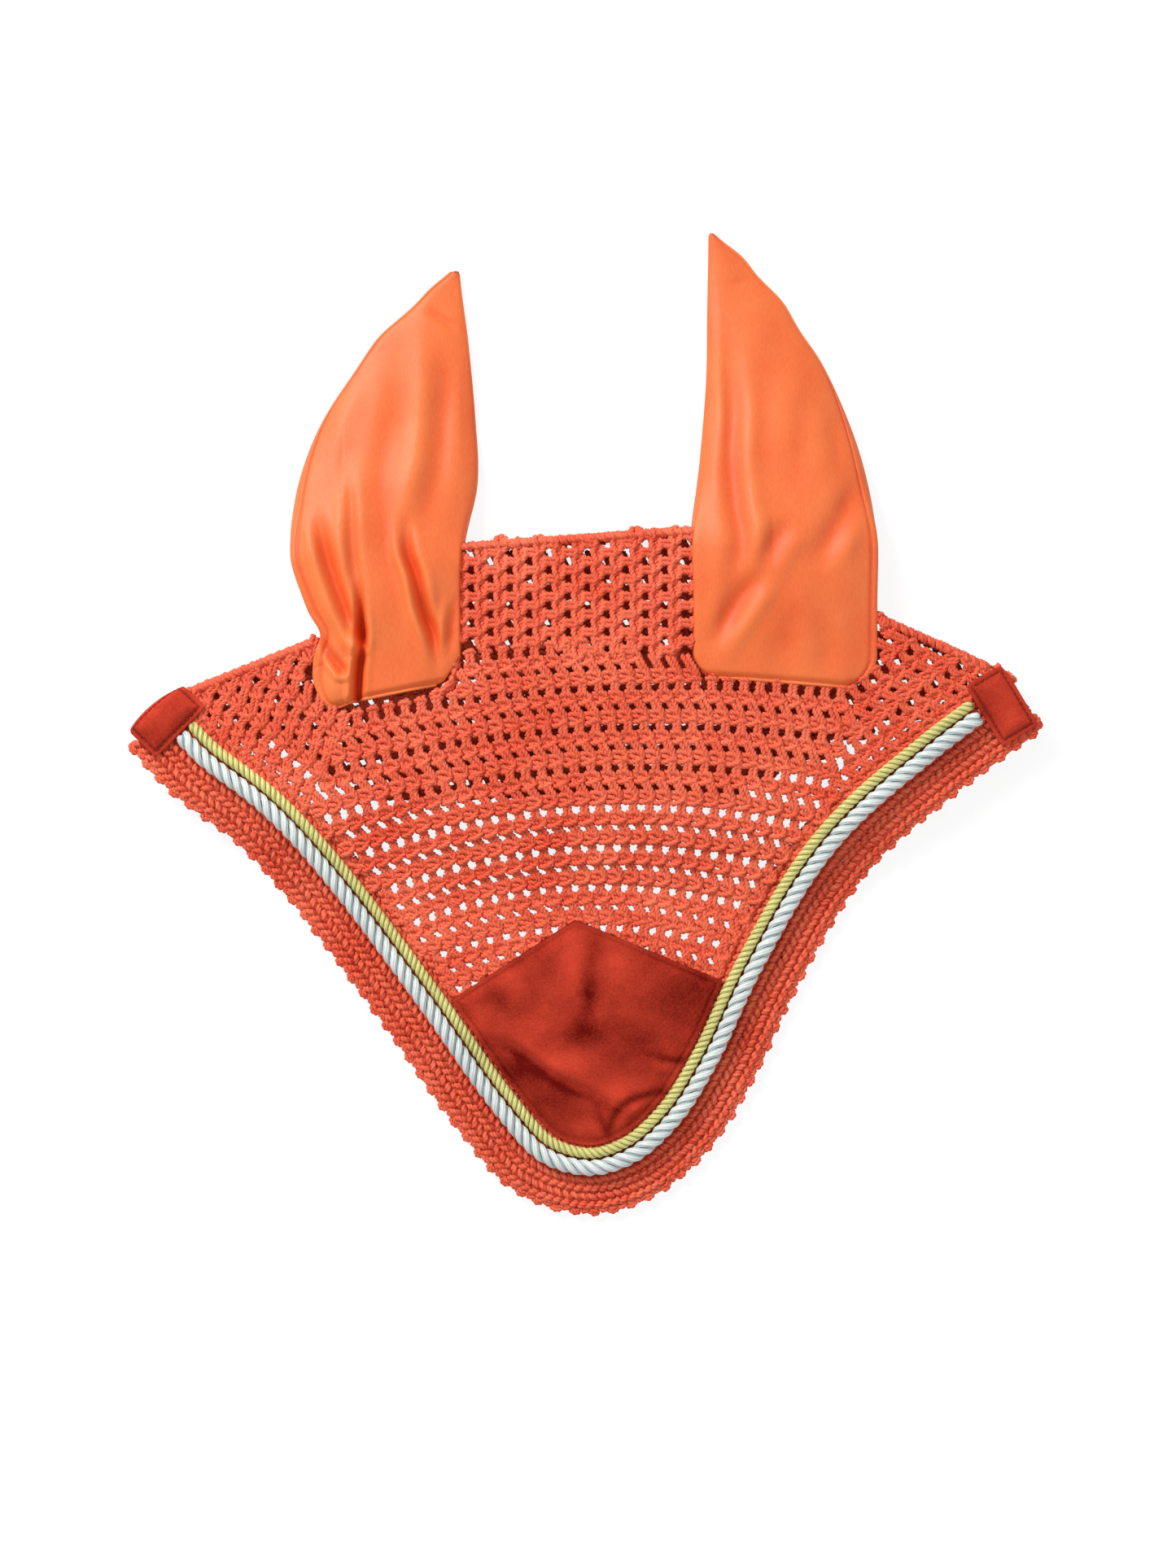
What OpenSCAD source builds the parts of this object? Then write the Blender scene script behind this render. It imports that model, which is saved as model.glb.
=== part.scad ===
// Fly bonnet for a horse, laid flat: a crocheted forehead panel with a nape flap folded
// underneath it, two cloth ear sleeves, a corded border and three suede-like patches.
// Millimetres. +Z is up, +Y runs towards the ear tips, -Y towards the forehead tip.

/* [Bonnet] */
// Width across the two border corners
bonnet_w = 500; // [415:1:600]
// Depth from the right ear's hem down to the forehead tip
forehead_depth = 290; // [255:1:350]
// Thickness of one crocheted layer
crochet_t = 5; // [4:0.1:6]
// Head space between the nape flap and the layer above it
head_gap = 5; // [4.4:0.1:9]
// Width of the folded edge that joins the nape flap to the layer above
fold_w = 5; // [3:0.5:8]
// Length over which the forehead panel slopes down to the ground
ramp_run = 66; // [50:1:90]

/* [Border] */
// Width of the scalloped edging
edging_w = 5; // [4:0.5:8]
// Depth of one scallop
scallop_depth = 1.8; // [0.5:0.1:3]
// Number of scallops along the edge
scallops = 78; // [50:1:100]
// Width of the dense border band
band_w = 34.5; // [30:0.5:42]

/* [Cords] */
// Diameter of the silver cord
silver_d = 8.6; // [5:0.1:10.4]
// Diameter of the gold cord
gold_d = 6; // [4:0.1:8]
// Gap between the two cords
cord_gap = 0.4; // [0.2:0.1:3]
// Distance from the outer edge to the middle of the silver cord
silver_inset = 28; // [22:0.5:29]

/* [Ears] */
// Length of the right ear sleeve from hem to tip
ear_length = 241; // [205:1:270]
// Width of an ear sleeve at its hem
ear_w = 97; // [80:1:110]
// How much the creased left sleeve lies short of the right one
left_slack = 10.5; // [0:0.5:20]
// Thickness of the ear cloth
ear_cloth = 0.8; // [0.5:0.1:1.5]
// Height of the padded-out sleeve above its back panel
ear_puff = 12; // [8:0.5:16]
// Depth of the stitched hem round the mouth of a sleeve
hem_w = 6; // [4:0.5:10]
// Width of the seam allowance down each side of a sleeve
seam_w = 3; // [2:0.5:5]
// Height of that seam between the two panels
seam_t = 0.9; // [0.5:0.1:1.5]
// Width of the crocheted edge round an ear hole
hole_edge_w = 4.5; // [3:0.5:7]
// Clearance between an ear sleeve and its hole
ear_clear = 0.4; // [0.3:0.1:1]

/* [Patches] */
// Thickness of the patch cloth
patch_t = 1.4; // [0.8:0.1:2.5]
// Length of a corner tab
tab_l = 38; // [30:1:46]
// Width of a corner tab
tab_w = 23; // [18:1:28]
// Corner radius of a tab
tab_r = 3; // [1:0.5:5]
// Distance of the stitch line from the edge of a patch
stitch_inset = 2.6; // [1.5:0.1:4]
// Length of one stitch
stitch_l = 2.6; // [1.5:0.1:4]
// Diameter of the sewing thread
thread_d = 0.6; // [0.4:0.1:1]

/* [Hidden] */

half_w = bonnet_w / 2;
// The ear hem line, placed so that the whole outline is centred on the origin.
hem_y = (forehead_depth - ear_length) / 2;
lift = crochet_t + head_gap;
front_top = lift + crochet_t;
seat = 0.2;              // clearance of what is sewn on top of the crochet
big = 4 * bonnet_w;
stitch_pitch = 2 * stitch_l;

// The outer edge from the left corner round the forehead tip to the right corner, as
// shares of half the width and of the forehead depth.
EDGE_SHAPE = [
    [-0.990, -0.130], [-0.893, -0.218], [-0.752, -0.314], [-0.618, -0.448], [-0.437, -0.657],
    [-0.288, -0.838], [-0.158, -0.958], [0.000, -1.000], [0.150, -0.966], [0.274, -0.874],
    [0.369, -0.745], [0.466, -0.570], [0.615, -0.360], [0.808, -0.210], [0.990, -0.096]
];
edge_span_points = 6;

// Top corners of the crocheted outline, measured from the ear hem line.
LEFT_TOP = [-0.908 * half_w, -12];
LEFT_EAR_TOP = [-0.585 * half_w, 20.5];
RIGHT_EAR_TOP = [0.633 * half_w, 32.5];
RIGHT_TOP = [0.922 * half_w, 0];
poll_left = -0.275 * half_w;
poll_right = 0.232 * half_w;
poll_base = 18;
poll_top_left = 71;
poll_top_right = 80;
// Where the wings' rows turn into the forehead's rows.
LEFT_CREASE = [-0.520 * half_w, -19.5];
LEFT_CREASE_FOOT = [-0.627 * half_w, -77];
RIGHT_CREASE = [0.582 * half_w, 0.5];
RIGHT_CREASE_FOOT = [0.518 * half_w, -65];
// Lower edge of the nape flap, from the left tab to the right one.
nape_drop = 58;
NAPE_LOWER = [
    [-0.885 * half_w, -17], [-0.69 * half_w, -0.5 * nape_drop], [-0.51 * half_w, -0.95 * nape_drop],
    [-0.28 * half_w, -nape_drop], [0.28 * half_w, -nape_drop], [0.42 * half_w, -0.75 * nape_drop],
    [0.59 * half_w, -0.48 * nape_drop], [0.72 * half_w, -12], [0.895 * half_w, -5]
];
ramp_top_y = -nape_drop - 3;
PATCH_TOP = [-0.025 * half_w, ramp_top_y - ramp_run - 2];
PATCH_LEFT = [-0.296 * half_w, -0.600 * forehead_depth];
PATCH_RIGHT = [0.303 * half_w, -0.562 * forehead_depth];
LEFT_TAB = [-0.908 * half_w, -25, 28];
RIGHT_TAB = [0.892 * half_w, -17, -58];

// One ear sleeve: which side it leans to, the x of its inner edge at the hem, its hem line
// and length, then how its inner and outer edges run from hem to tip in shares of ear_w.
LEFT_EAR = [
    -1, poll_left, -10, ear_length - left_slack,
    [0, 0, -0.008, -0.093, -0.079, -0.043, 0.005], [0.80, 0.805, 0.921, 0.890, 0.743, 0.490, 0.035]
];
RIGHT_EAR = [
    1, poll_right, 0, ear_length,
    [0, 0, -0.005, 0.040, 0.073, 0.080, 0.087], [1, 0.998, 0.996, 0.922, 0.764, 0.530, 0.100]
];
ear_slices = 26;
ear_arch = 12;
ear_corner_r = 14;
// The sleeves lie on the nape flap at the hem and droop to the ground past the crochet.
droop_start = 92;
droop_run = 60;
ear_floor = crochet_t + ear_clear;
droop = ear_floor - 0.3;

cord_ring_step = 1;
cord_sides = 8;

// ---- curves ----

function mix(a, b, t) = a + (b - a) * t;
function ease(t) = let (u = min(1, max(0, t))) u * u * (3 - 2 * u);
function unit(v) = v / norm(v);
function catmull(a, b, c, d, t) =
    0.5 * (2 * b + (c - a) * t + (2 * a - 5 * b + 4 * c - d) * t * t + (3 * b - a - 3 * c + d) * t * t * t);
function spline(p, n) = [
    for (i = [0 : len(p) - 2]) for (k = [0 : n - 1])
        catmull(p[max(i - 1, 0)], p[i], p[i + 1], p[min(i + 2, len(p) - 1)], k / n),
    p[len(p) - 1]
];
// The value at t, 0 to 1, of a curve through evenly spaced values.
function along(v, t) =
    let (n = len(v) - 1, i = min(n - 1, floor(t * n)))
    catmull(v[max(i - 1, 0)], v[i], v[i + 1], v[min(i + 2, n)], t * n - i);
function reversed(p) = [for (i = [len(p) - 1 : -1 : 0]) p[i]];
function part_of(p, a, b) = [for (i = [a : b]) p[i]];
function nearest(p, q) =
    let (d = [for (x = p) norm(x - q)], m = min(d)) [for (i = [0 : len(p) - 1]) if (d[i] == m) i][0];
function inward(p, i) =
    let (t = unit(p[min(i + 1, len(p) - 1)] - p[max(i - 1, 0)])) [-t[1], t[0]];
function shifted(p, d) = [for (i = [0 : len(p) - 1]) p[i] + inward(p, i) * d];
function placed(p) = [for (q = p) [q[0], q[1] + hem_y]];

EDGE = spline([for (q = EDGE_SHAPE) [q[0] * half_w, q[1] * forehead_depth]], edge_span_points);
BAND_OUTER = shifted(EDGE, edging_w);
BAND_INNER = shifted(EDGE, edging_w + band_w);
gold_inset = silver_inset + silver_d / 2 + cord_gap + gold_d / 2;
PATCH_LIMIT = shifted(EDGE, edging_w + band_w + 0.2);

// ---- shared shapes ----

// Side profile of the upper layer: level over the nape flap, a slope, then the ground.
module layer_profile(extra = 0) {
    top = ramp_top_y + hem_y;
    foot = top - ramp_run;
    translate([-big / 2, 0, 0]) rotate([90, 0, 90]) linear_extrude(big) polygon([
        [big, lift], [top, lift], [foot, 0], [-big, 0],
        [-big, crochet_t + extra], [foot, crochet_t + extra],
        [top, front_top + extra], [big, front_top + extra]
    ]);
}

// A polygon of the upper layer, given by its outline.
module upper_layer(outline) {
    intersection() {
        linear_extrude(2 * front_top) polygon(placed(outline));
        layer_profile();
    }
}

function ramp_share(y) = min(1, max(0, (ramp_top_y + hem_y - y) / ramp_run));
function layer_top(y) = crochet_t + lift * (1 - ramp_share(y));

// A quadrilateral strip inside the line from a to b, w wide, on its right-hand side.
function strip(a, b, w) =
    let (t = unit(b - a), n = [t[1], -t[0]]) [a, b, b + n * w, a + n * w];

// A closed sheet between two grids of points with the same rows and columns.
module sheet_between(upper, lower) {
    rows = len(upper);
    cols = len(upper[0]);
    n = rows * cols;
    function at(i, j) = i * cols + j;
    faces = [
        for (i = [0 : rows - 2]) for (j = [0 : cols - 2]) each [
            [at(i, j), at(i + 1, j), at(i + 1, j + 1)], [at(i, j), at(i + 1, j + 1), at(i, j + 1)],
            [n + at(i, j), n + at(i + 1, j + 1), n + at(i + 1, j)],
            [n + at(i, j), n + at(i, j + 1), n + at(i + 1, j + 1)]
        ],
        for (i = [0 : rows - 2]) each [
            [at(i, 0), n + at(i, 0), n + at(i + 1, 0)], [at(i, 0), n + at(i + 1, 0), at(i + 1, 0)],
            [at(i, cols - 1), at(i + 1, cols - 1), n + at(i + 1, cols - 1)],
            [at(i, cols - 1), n + at(i + 1, cols - 1), n + at(i, cols - 1)]
        ],
        for (j = [0 : cols - 2]) each [
            [at(0, j), at(0, j + 1), n + at(0, j + 1)], [at(0, j), n + at(0, j + 1), n + at(0, j)],
            [at(rows - 1, j), n + at(rows - 1, j), n + at(rows - 1, j + 1)],
            [at(rows - 1, j), n + at(rows - 1, j + 1), at(rows - 1, j + 1)]
        ]
    ];
    polyhedron(points = concat([for (r = upper) each r], [for (r = lower) each r]), faces = faces);
}

// A round tube swept along a path of 3-D points.
module tube(path, d) {
    n = len(path);
    rings = [for (i = [0 : n - 1])
        let (t = unit(path[min(i + 1, n - 1)] - path[max(i - 1, 0)]),
             side = unit(cross(t, [0, 0, 1])), up = cross(side, t))
        for (k = [0 : cord_sides - 1])
            let (a = 360 * (k + 0.5) / cord_sides)
            path[i] + side * (d / 2 * cos(a)) + up * (d / 2 * sin(a))];
    faces = [
        [for (k = [0 : cord_sides - 1]) k],
        for (i = [0 : n - 2]) for (k = [0 : cord_sides - 1])
            let (a = i * cord_sides + k, b = i * cord_sides + (k + 1) % cord_sides)
            each [[a, a + cord_sides, b + cord_sides], [a, b + cord_sides, b]],
        [for (k = [cord_sides - 1 : -1 : 0]) (n - 1) * cord_sides + k]
    ];
    polyhedron(points = rings, faces = faces);
}

// ---- ear sleeves ----

function ear_side(e) = e[0];
function ear_hem(e) = e[2] + hem_y;
function ear_y(e, t) = ear_hem(e) + t * e[3];
// How far the rounded corners of the hem pull the edges in at height y above it.
function corner_pull(y) = y >= ear_corner_r ? 0
    : ear_corner_r - sqrt(ear_corner_r * ear_corner_r - pow(ear_corner_r - y, 2));
function ear_inner(e, t) = e[1] + ear_side(e) * (ear_w * along(e[4], t) + corner_pull(t * e[3]));
function ear_outer(e, t) = e[1] + ear_side(e) * (ear_w * along(e[5], t) - corner_pull(t * e[3]));
function ear_low(e, t) = min(ear_inner(e, t), ear_outer(e, t));
function ear_high(e, t) = max(ear_inner(e, t), ear_outer(e, t));
function ear_base_z(e, t) = ear_floor - droop * ease((t * e[3] - droop_start) / droop_run);
// Height of the front panel's crown: it starts level with the crochet, swells and thins to the tip.
function ear_crown(e, t) =
    let (mouth = front_top - ear_floor) mix(mouth, ear_puff + 1.5, ease(t * e[3] / 60)) * mix(1, 0.3, ease((t - 0.45) / 0.55));
function arch(s) = pow(max(0, sin(180 * s)), 0.45);
hem_gap = 0.1;
function hem_t(e) = (hem_w + hem_gap) / e[3];
function slice_t(e, i) = mix(hem_t(e), 1, i / ear_slices);

// A slice of the front panel, with its edges on the seam: height z above the back panel.
function arch_row(e, t, inset, rise) = [for (j = [0 : ear_arch])
    let (s = j / ear_arch)
    [mix(ear_low(e, t) + inset, ear_high(e, t) - inset, s), ear_y(e, t),
     ear_base_z(e, t) + ear_cloth + hem_gap + seam_t + hem_gap
     + max(0, ear_crown(e, t) - ear_cloth - seam_t - ear_cloth) * arch(s) + rise]];
function flat_row(e, t, z) = [for (s = [0, 1])
    [mix(ear_low(e, t), ear_high(e, t), s), ear_y(e, t), ear_base_z(e, t) + z]];
function seam_row(e, t, z, a, b) = [[a, ear_y(e, t), ear_base_z(e, t) + z], [b, ear_y(e, t), ear_base_z(e, t) + z]];
function seam_in(e, t) = min(seam_w, 0.42 * (ear_high(e, t) - ear_low(e, t)));

module ear_front(e) {
    ts = [for (i = [0 : ear_slices]) slice_t(e, i)];
    sheet_between([for (t = ts) arch_row(e, t, 0, ear_cloth)], [for (t = ts) arch_row(e, t, 0, 0)]);
}

module ear_back(e) {
    ts = [for (i = [0 : ear_slices]) slice_t(e, i)];
    sheet_between([for (t = ts) flat_row(e, t, ear_cloth)], [for (t = ts) flat_row(e, t, 0)]);
}

module ear_seam(e) {
    ts = [for (i = [0 : ear_slices]) slice_t(e, i)];
    z = ear_cloth + hem_gap;
    for (side = [0, 1]) {
        edges = [for (t = ts) side == 0
            ? [ear_low(e, t), ear_low(e, t) + seam_in(e, t)]
            : [ear_high(e, t) - seam_in(e, t), ear_high(e, t)]];
        sheet_between(
            [for (i = [0 : ear_slices]) seam_row(e, ts[i], z + seam_t, edges[i][0], edges[i][1])],
            [for (i = [0 : ear_slices]) seam_row(e, ts[i], z, edges[i][0], edges[i][1])]
        );
    }
}

// The doubled hem round the mouth: a flat lower run and an arched upper run that meet at the sides.
hem_wall = 2 * ear_cloth;
function hem_row(e, t, rise) = [for (j = [0 : ear_arch])
    let (s = j / ear_arch)
    [mix(ear_low(e, t), ear_high(e, t), s), ear_y(e, t),
     ear_base_z(e, t) + hem_wall + 0.05 + (ear_crown(e, t) - 2 * hem_wall - 0.05) * arch(s) + rise]];

module ear_hem_band(e) {
    ts = [for (i = [0 : 3]) hem_w / e[3] * i / 3];
    sheet_between([for (t = ts) flat_row(e, t, hem_wall)], [for (t = ts) flat_row(e, t, 0)]);
    sheet_between([for (t = ts) hem_row(e, t, hem_wall)], [for (t = ts) hem_row(e, t, 0)]);
}

// Outline of the hole that an ear stands in, grown by a margin.
function hole_outline(e, grow) =
    let (ts = [for (i = [0 : 14]) 0.45 * pow(i / 14, 1.6)])
    concat(
        [for (t = ts) [ear_low(e, t) - grow, ear_y(e, t) - hem_y - grow]],
        [for (t = reversed(ts)) [ear_high(e, t) + grow, ear_y(e, t) - hem_y - grow]]
    );
module ear_hole(e, grow) {
    translate([0, 0, -1]) linear_extrude(3 * front_top) polygon(placed(hole_outline(e, grow)));
}
module both_ear_holes(grow) {
    ear_hole(LEFT_EAR, grow);
    ear_hole(RIGHT_EAR, grow);
}

// ---- crocheted pieces ----

LEFT_FOLD = strip(LEFT_TOP, LEFT_EAR_TOP, fold_w);
RIGHT_FOLD = strip(RIGHT_EAR_TOP, RIGHT_TOP, fold_w);
POLL_FOLD = strip([poll_left, poll_top_left], [poll_right, poll_top_right], fold_w);
foot_left = nearest(BAND_INNER, LEFT_CREASE_FOOT);
foot_right = nearest(BAND_INNER, RIGHT_CREASE_FOOT);
last = len(EDGE) - 1;

module forehead_mesh() {
    color("tomato") difference() {
        upper_layer(concat(part_of(BAND_INNER, foot_left, foot_right),
            [RIGHT_CREASE, [poll_right, poll_base], [poll_left, poll_base], LEFT_CREASE]));
        both_ear_holes(ear_clear + hole_edge_w);
    }
}

module poll_mesh() {
    color("tomato") difference() {
        upper_layer([[poll_left, poll_base], [poll_right, poll_base], POLL_FOLD[2], POLL_FOLD[3]]);
        both_ear_holes(ear_clear + hole_edge_w);
    }
}

// Everything on the nape side of the line through a and b.
module beyond(a, b) {
    t = unit(b - a) * big;
    n = [-t[1], t[0]];
    translate([0, hem_y, -1]) linear_extrude(3 * front_top) polygon([a - t, b + t, b + t + n, a - t + n]);
}
module left_wing_mesh() {
    color("tomato") difference() {
        upper_layer(concat(part_of(BAND_INNER, 0, foot_left), [LEFT_CREASE, LEFT_EAR_TOP, [-half_w, 100]]));
        beyond(LEFT_FOLD[3], LEFT_FOLD[2]);
        both_ear_holes(ear_clear + hole_edge_w);
    }
}

module right_wing_mesh() {
    color("tomato") difference() {
        upper_layer(concat(part_of(BAND_INNER, foot_right, last), [[half_w, 100], RIGHT_EAR_TOP, RIGHT_CREASE]));
        beyond(RIGHT_FOLD[3], RIGHT_FOLD[2]);
        both_ear_holes(ear_clear + hole_edge_w);
    }
}

// The crocheted round of one ear hole, within the upper layer.
module ear_hole_edge(e, outline) {
    color("tomato") intersection() {
        difference() {
            ear_hole(e, ear_clear + hole_edge_w);
            ear_hole(e, ear_clear);
        }
        upper_layer(outline);
    }
}

// The point at x on the line through a and b.
function on_line(a, b, x) = [x, a[1] + (b[1] - a[1]) * (x - a[0]) / (b[0] - a[0])];
function ear_middle(e) = (ear_low(e, 0.1) + ear_high(e, 0.1)) / 2;

module left_ear_hole_edge() {
    middle = ear_middle(LEFT_EAR);
    ear_hole_edge(LEFT_EAR, [
        LEFT_FOLD[3], [-half_w, -big], [0, -big], [0, poll_base], POLL_FOLD[2], POLL_FOLD[3],
        on_line(POLL_FOLD[2], POLL_FOLD[3], middle), on_line(LEFT_FOLD[3], LEFT_FOLD[2], middle), LEFT_FOLD[2]
    ]);
}

module right_ear_hole_edge() {
    middle = ear_middle(RIGHT_EAR);
    ear_hole_edge(RIGHT_EAR, [
        POLL_FOLD[3], [0, poll_base], [0, -big], [half_w, -big], RIGHT_FOLD[2], RIGHT_FOLD[3],
        on_line(RIGHT_FOLD[2], RIGHT_FOLD[3], middle), on_line(POLL_FOLD[3], POLL_FOLD[2], middle), POLL_FOLD[2]
    ]);
}

module fold_edge(outline) {
    color("orangered") difference() {
        linear_extrude(front_top) polygon(placed(outline));
        both_ear_holes(ear_clear);
    }
}

module nape_flap() {
    color("orangered") linear_extrude(crochet_t) polygon(placed(concat(
        NAPE_LOWER, [RIGHT_FOLD[2], RIGHT_FOLD[3], POLL_FOLD[2], POLL_FOLD[3], LEFT_FOLD[2], LEFT_FOLD[3]]
    )));
}

module border_band() {
    color("tomato") difference() {
        upper_layer(concat(BAND_OUTER, reversed(BAND_INNER)));
        beyond(LEFT_FOLD[3], LEFT_FOLD[2]);
        beyond(RIGHT_FOLD[3], RIGHT_FOLD[2]);
    }
}

module scallop_edging() {
    steps = 4 * scallops;
    rim = [for (k = [0 : steps])
        let (u = last * k / steps, i = min(last - 1, floor(u)),
             p = mix(EDGE[i], EDGE[i + 1], u - i),
             n = unit(mix(inward(EDGE, i), inward(EDGE, i + 1), u - i)))
        p + n * scallop_depth * (1 - abs(sin(180 * k / 4)))];
    color("orangered") upper_layer(concat(rim, reversed(BAND_OUTER)));
}

// ---- trims ----

// A cord's route at a distance from the outer edge, lying on the crochet between the tabs.
function cord_route(inset, d, from, to) = [for (i = [from : cord_ring_step : to])
    let (p = shifted(EDGE, inset)[i], y = p[1] + hem_y)
    [p[0], y, layer_top(y) + d / 2 + 2 * seat]];
cord_start = 5;
cord_end = last - 4;

module silver_cord() {
    color("lightcyan") tube(cord_route(silver_inset, silver_d, cord_start, cord_end), silver_d);
}

module gold_cord() {
    color("darkkhaki") tube(cord_route(gold_inset, gold_d, cord_start, cord_end), gold_d);
}

patch_left = nearest(PATCH_LIMIT, PATCH_LEFT);
patch_right = nearest(PATCH_LIMIT, PATCH_RIGHT);

module forehead_patch() {
    color("firebrick") translate([0, 0, crochet_t + seat]) linear_extrude(patch_t)
        polygon(placed(concat(part_of(PATCH_LIMIT, patch_left, patch_right), [PATCH_TOP])));
}

module rounded_block(l, w, r, h) {
    linear_extrude(h) union() {
        square([l - 2 * r, w], center = true);
        square([l, w - 2 * r], center = true);
        for (x = [-1, 1]) for (y = [-1, 1])
            translate([x * (l / 2 - r), y * (w / 2 - r)]) circle(r, $fn = 32);
    }
}

module at_tab(tab) {
    translate([tab[0], tab[1] + hem_y, front_top + seat]) rotate([0, 0, tab[2]]) children();
}

module corner_tab(tab) {
    color("firebrick") at_tab(tab) rounded_block(tab_l, tab_w, tab_r, patch_t);
}

// Distance of each point of a path from its start.
function lengths(p) = [
    for (i = 0, s = 0; i < len(p); s = s + (i + 1 < len(p) ? norm(p[i + 1] - p[i]) : 0), i = i + 1) s
];
function point_at(p, run, s) =
    let (i = max([for (k = [0 : len(p) - 2]) if (run[k] <= s) k]))
    mix(p[i], p[i + 1], (s - run[i]) / (run[i + 1] - run[i]));

// Stitches along a path, each a short thread lying on the cloth.
module stitches(path, z) {
    run = lengths(path);
    total = run[len(run) - 1];
    count = floor(total / stitch_pitch);
    for (k = [0 : count - 1]) {
        s = (k + 0.5) * total / count;
        a = point_at(path, run, s - stitch_l / 2);
        b = point_at(path, run, s + stitch_l / 2);
        mid = (a + b) / 2;
        translate([mid[0], mid[1], z]) rotate([0, 90, atan2(b[1] - a[1], b[0] - a[0])])
            cylinder(h = norm(b - a), d = thread_d, center = true, $fn = 16);
    }
}

stitch_lie = thread_d / 2 + 0.05;

module patch_stitching() {
    z = crochet_t + seat + patch_t + stitch_lie;
    low = shifted(EDGE, edging_w + band_w + 0.2 + stitch_inset);
    rim = placed(part_of(low, patch_left + 1, patch_right - 1));
    top = placed([PATCH_TOP - [0, 1.6 * stitch_inset]])[0];
    color("darkred") {
        stitches(rim, z);
        stitches([top, rim[0]], z);
        stitches([top, rim[len(rim) - 1]], z);
    }
}

module tab_stitching() {
    x = tab_l / 2 - stitch_inset;
    y = tab_w / 2 - stitch_inset;
    corners = [[-x, -y], [x, -y], [x, y], [-x, y]];
    color("darkred") for (tab = [LEFT_TAB, RIGHT_TAB]) at_tab(tab)
        for (k = [0 : 3]) stitches([corners[k], corners[(k + 1) % 4]], patch_t + stitch_lie);
}

module ear_cloth_colour() { color("coral") children(); }

forehead_mesh();
poll_mesh();
left_wing_mesh();
right_wing_mesh();
nape_flap();
fold_edge(POLL_FOLD);  // poll_fold_edge
fold_edge(LEFT_FOLD);  // left_fold_edge
fold_edge(RIGHT_FOLD);  // right_fold_edge
left_ear_hole_edge();
right_ear_hole_edge();
border_band();
scallop_edging();
silver_cord();
gold_cord();
forehead_patch();
corner_tab(LEFT_TAB);  // left_tab
corner_tab(RIGHT_TAB);  // right_tab
patch_stitching();
tab_stitching();
ear_cloth_colour() ear_front(LEFT_EAR);  // left_ear_front
ear_cloth_colour() ear_back(LEFT_EAR);  // left_ear_back
ear_cloth_colour() ear_seam(LEFT_EAR);  // left_ear_seam
ear_cloth_colour() ear_hem_band(LEFT_EAR);  // left_ear_hem
ear_cloth_colour() ear_front(RIGHT_EAR);  // right_ear_front
ear_cloth_colour() ear_back(RIGHT_EAR);  // right_ear_back
ear_cloth_colour() ear_seam(RIGHT_EAR);  // right_ear_seam
ear_cloth_colour() ear_hem_band(RIGHT_EAR);  // right_ear_hem
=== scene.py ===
"""Dresses the fly bonnet: a crocheted face with a corded border, suede patches and cloth ear sleeves."""

import enum
import logging
import math
from dataclasses import dataclass, field

import bpy
import numpy as np
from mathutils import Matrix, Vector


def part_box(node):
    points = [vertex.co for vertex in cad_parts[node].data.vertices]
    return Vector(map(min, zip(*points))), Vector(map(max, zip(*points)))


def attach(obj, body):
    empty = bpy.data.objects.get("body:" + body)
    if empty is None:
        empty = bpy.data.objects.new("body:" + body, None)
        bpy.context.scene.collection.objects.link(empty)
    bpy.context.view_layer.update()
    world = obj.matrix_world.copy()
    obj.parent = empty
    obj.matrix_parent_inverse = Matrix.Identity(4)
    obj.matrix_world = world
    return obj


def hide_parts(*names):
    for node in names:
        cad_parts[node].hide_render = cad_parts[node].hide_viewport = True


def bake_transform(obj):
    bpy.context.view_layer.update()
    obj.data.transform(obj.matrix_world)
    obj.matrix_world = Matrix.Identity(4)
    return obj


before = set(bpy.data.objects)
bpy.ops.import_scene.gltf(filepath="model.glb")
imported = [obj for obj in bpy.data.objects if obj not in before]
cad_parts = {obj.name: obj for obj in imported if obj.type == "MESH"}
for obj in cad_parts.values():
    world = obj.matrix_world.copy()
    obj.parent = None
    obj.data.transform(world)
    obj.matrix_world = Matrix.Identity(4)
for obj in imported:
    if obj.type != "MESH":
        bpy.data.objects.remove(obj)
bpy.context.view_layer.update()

LOG = logging.getLogger("bonnet")
MM = 0.001
SEED = 20
Array = np.ndarray


# ---------------------------------------------------------------- curves and meshes


def spline(points: Array, per_span: int) -> Array:
    """Runs a Catmull-Rom curve through the points.

    Args:
        points: N by D control points.
        per_span: steps between two control points.

    Returns:
        The points of the curve.
    """
    p = np.asarray(points, dtype=float)
    padded = np.vstack([p[:1], p, p[-1:]])
    t = np.arange(per_span)[:, None] / per_span
    parts = []
    for i in range(len(p) - 1):
        a, b, c, d = padded[i : i + 4]
        parts.append(
            0.5 * (2 * b + (c - a) * t + (2 * a - 5 * b + 4 * c - d) * t**2 + (3 * b - a - 3 * c + d) * t**3)
        )
    parts.append(p[-1:])
    return np.vstack(parts)


def spline_weights(count: int, per_span: int) -> Array:
    """Gives the matrix that turns count control points into the points of their curve."""
    return spline(np.eye(count), per_span)


def run_length(path: Array) -> Array:
    """Gives the distance of each point of a path from its start."""
    steps = np.linalg.norm(np.diff(path, axis=0), axis=1)
    return np.concatenate([[0.0], np.cumsum(steps)])


def point_at(path: Array, distance: Array) -> Array:
    """Reads a path at distances from its start, going straight on past its ends."""
    run = run_length(path)
    out = np.stack([np.interp(distance, run, path[:, k]) for k in range(path.shape[1])], axis=-1)
    before = np.minimum(np.asarray(distance), 0.0)[..., None]
    after = np.maximum(np.asarray(distance) - run[-1], 0.0)[..., None]
    first = (path[1] - path[0]) / max(run[1], 1e-9)
    final = (path[-1] - path[-2]) / max(run[-1] - run[-2], 1e-9)
    return out + before * first + after * final


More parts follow.
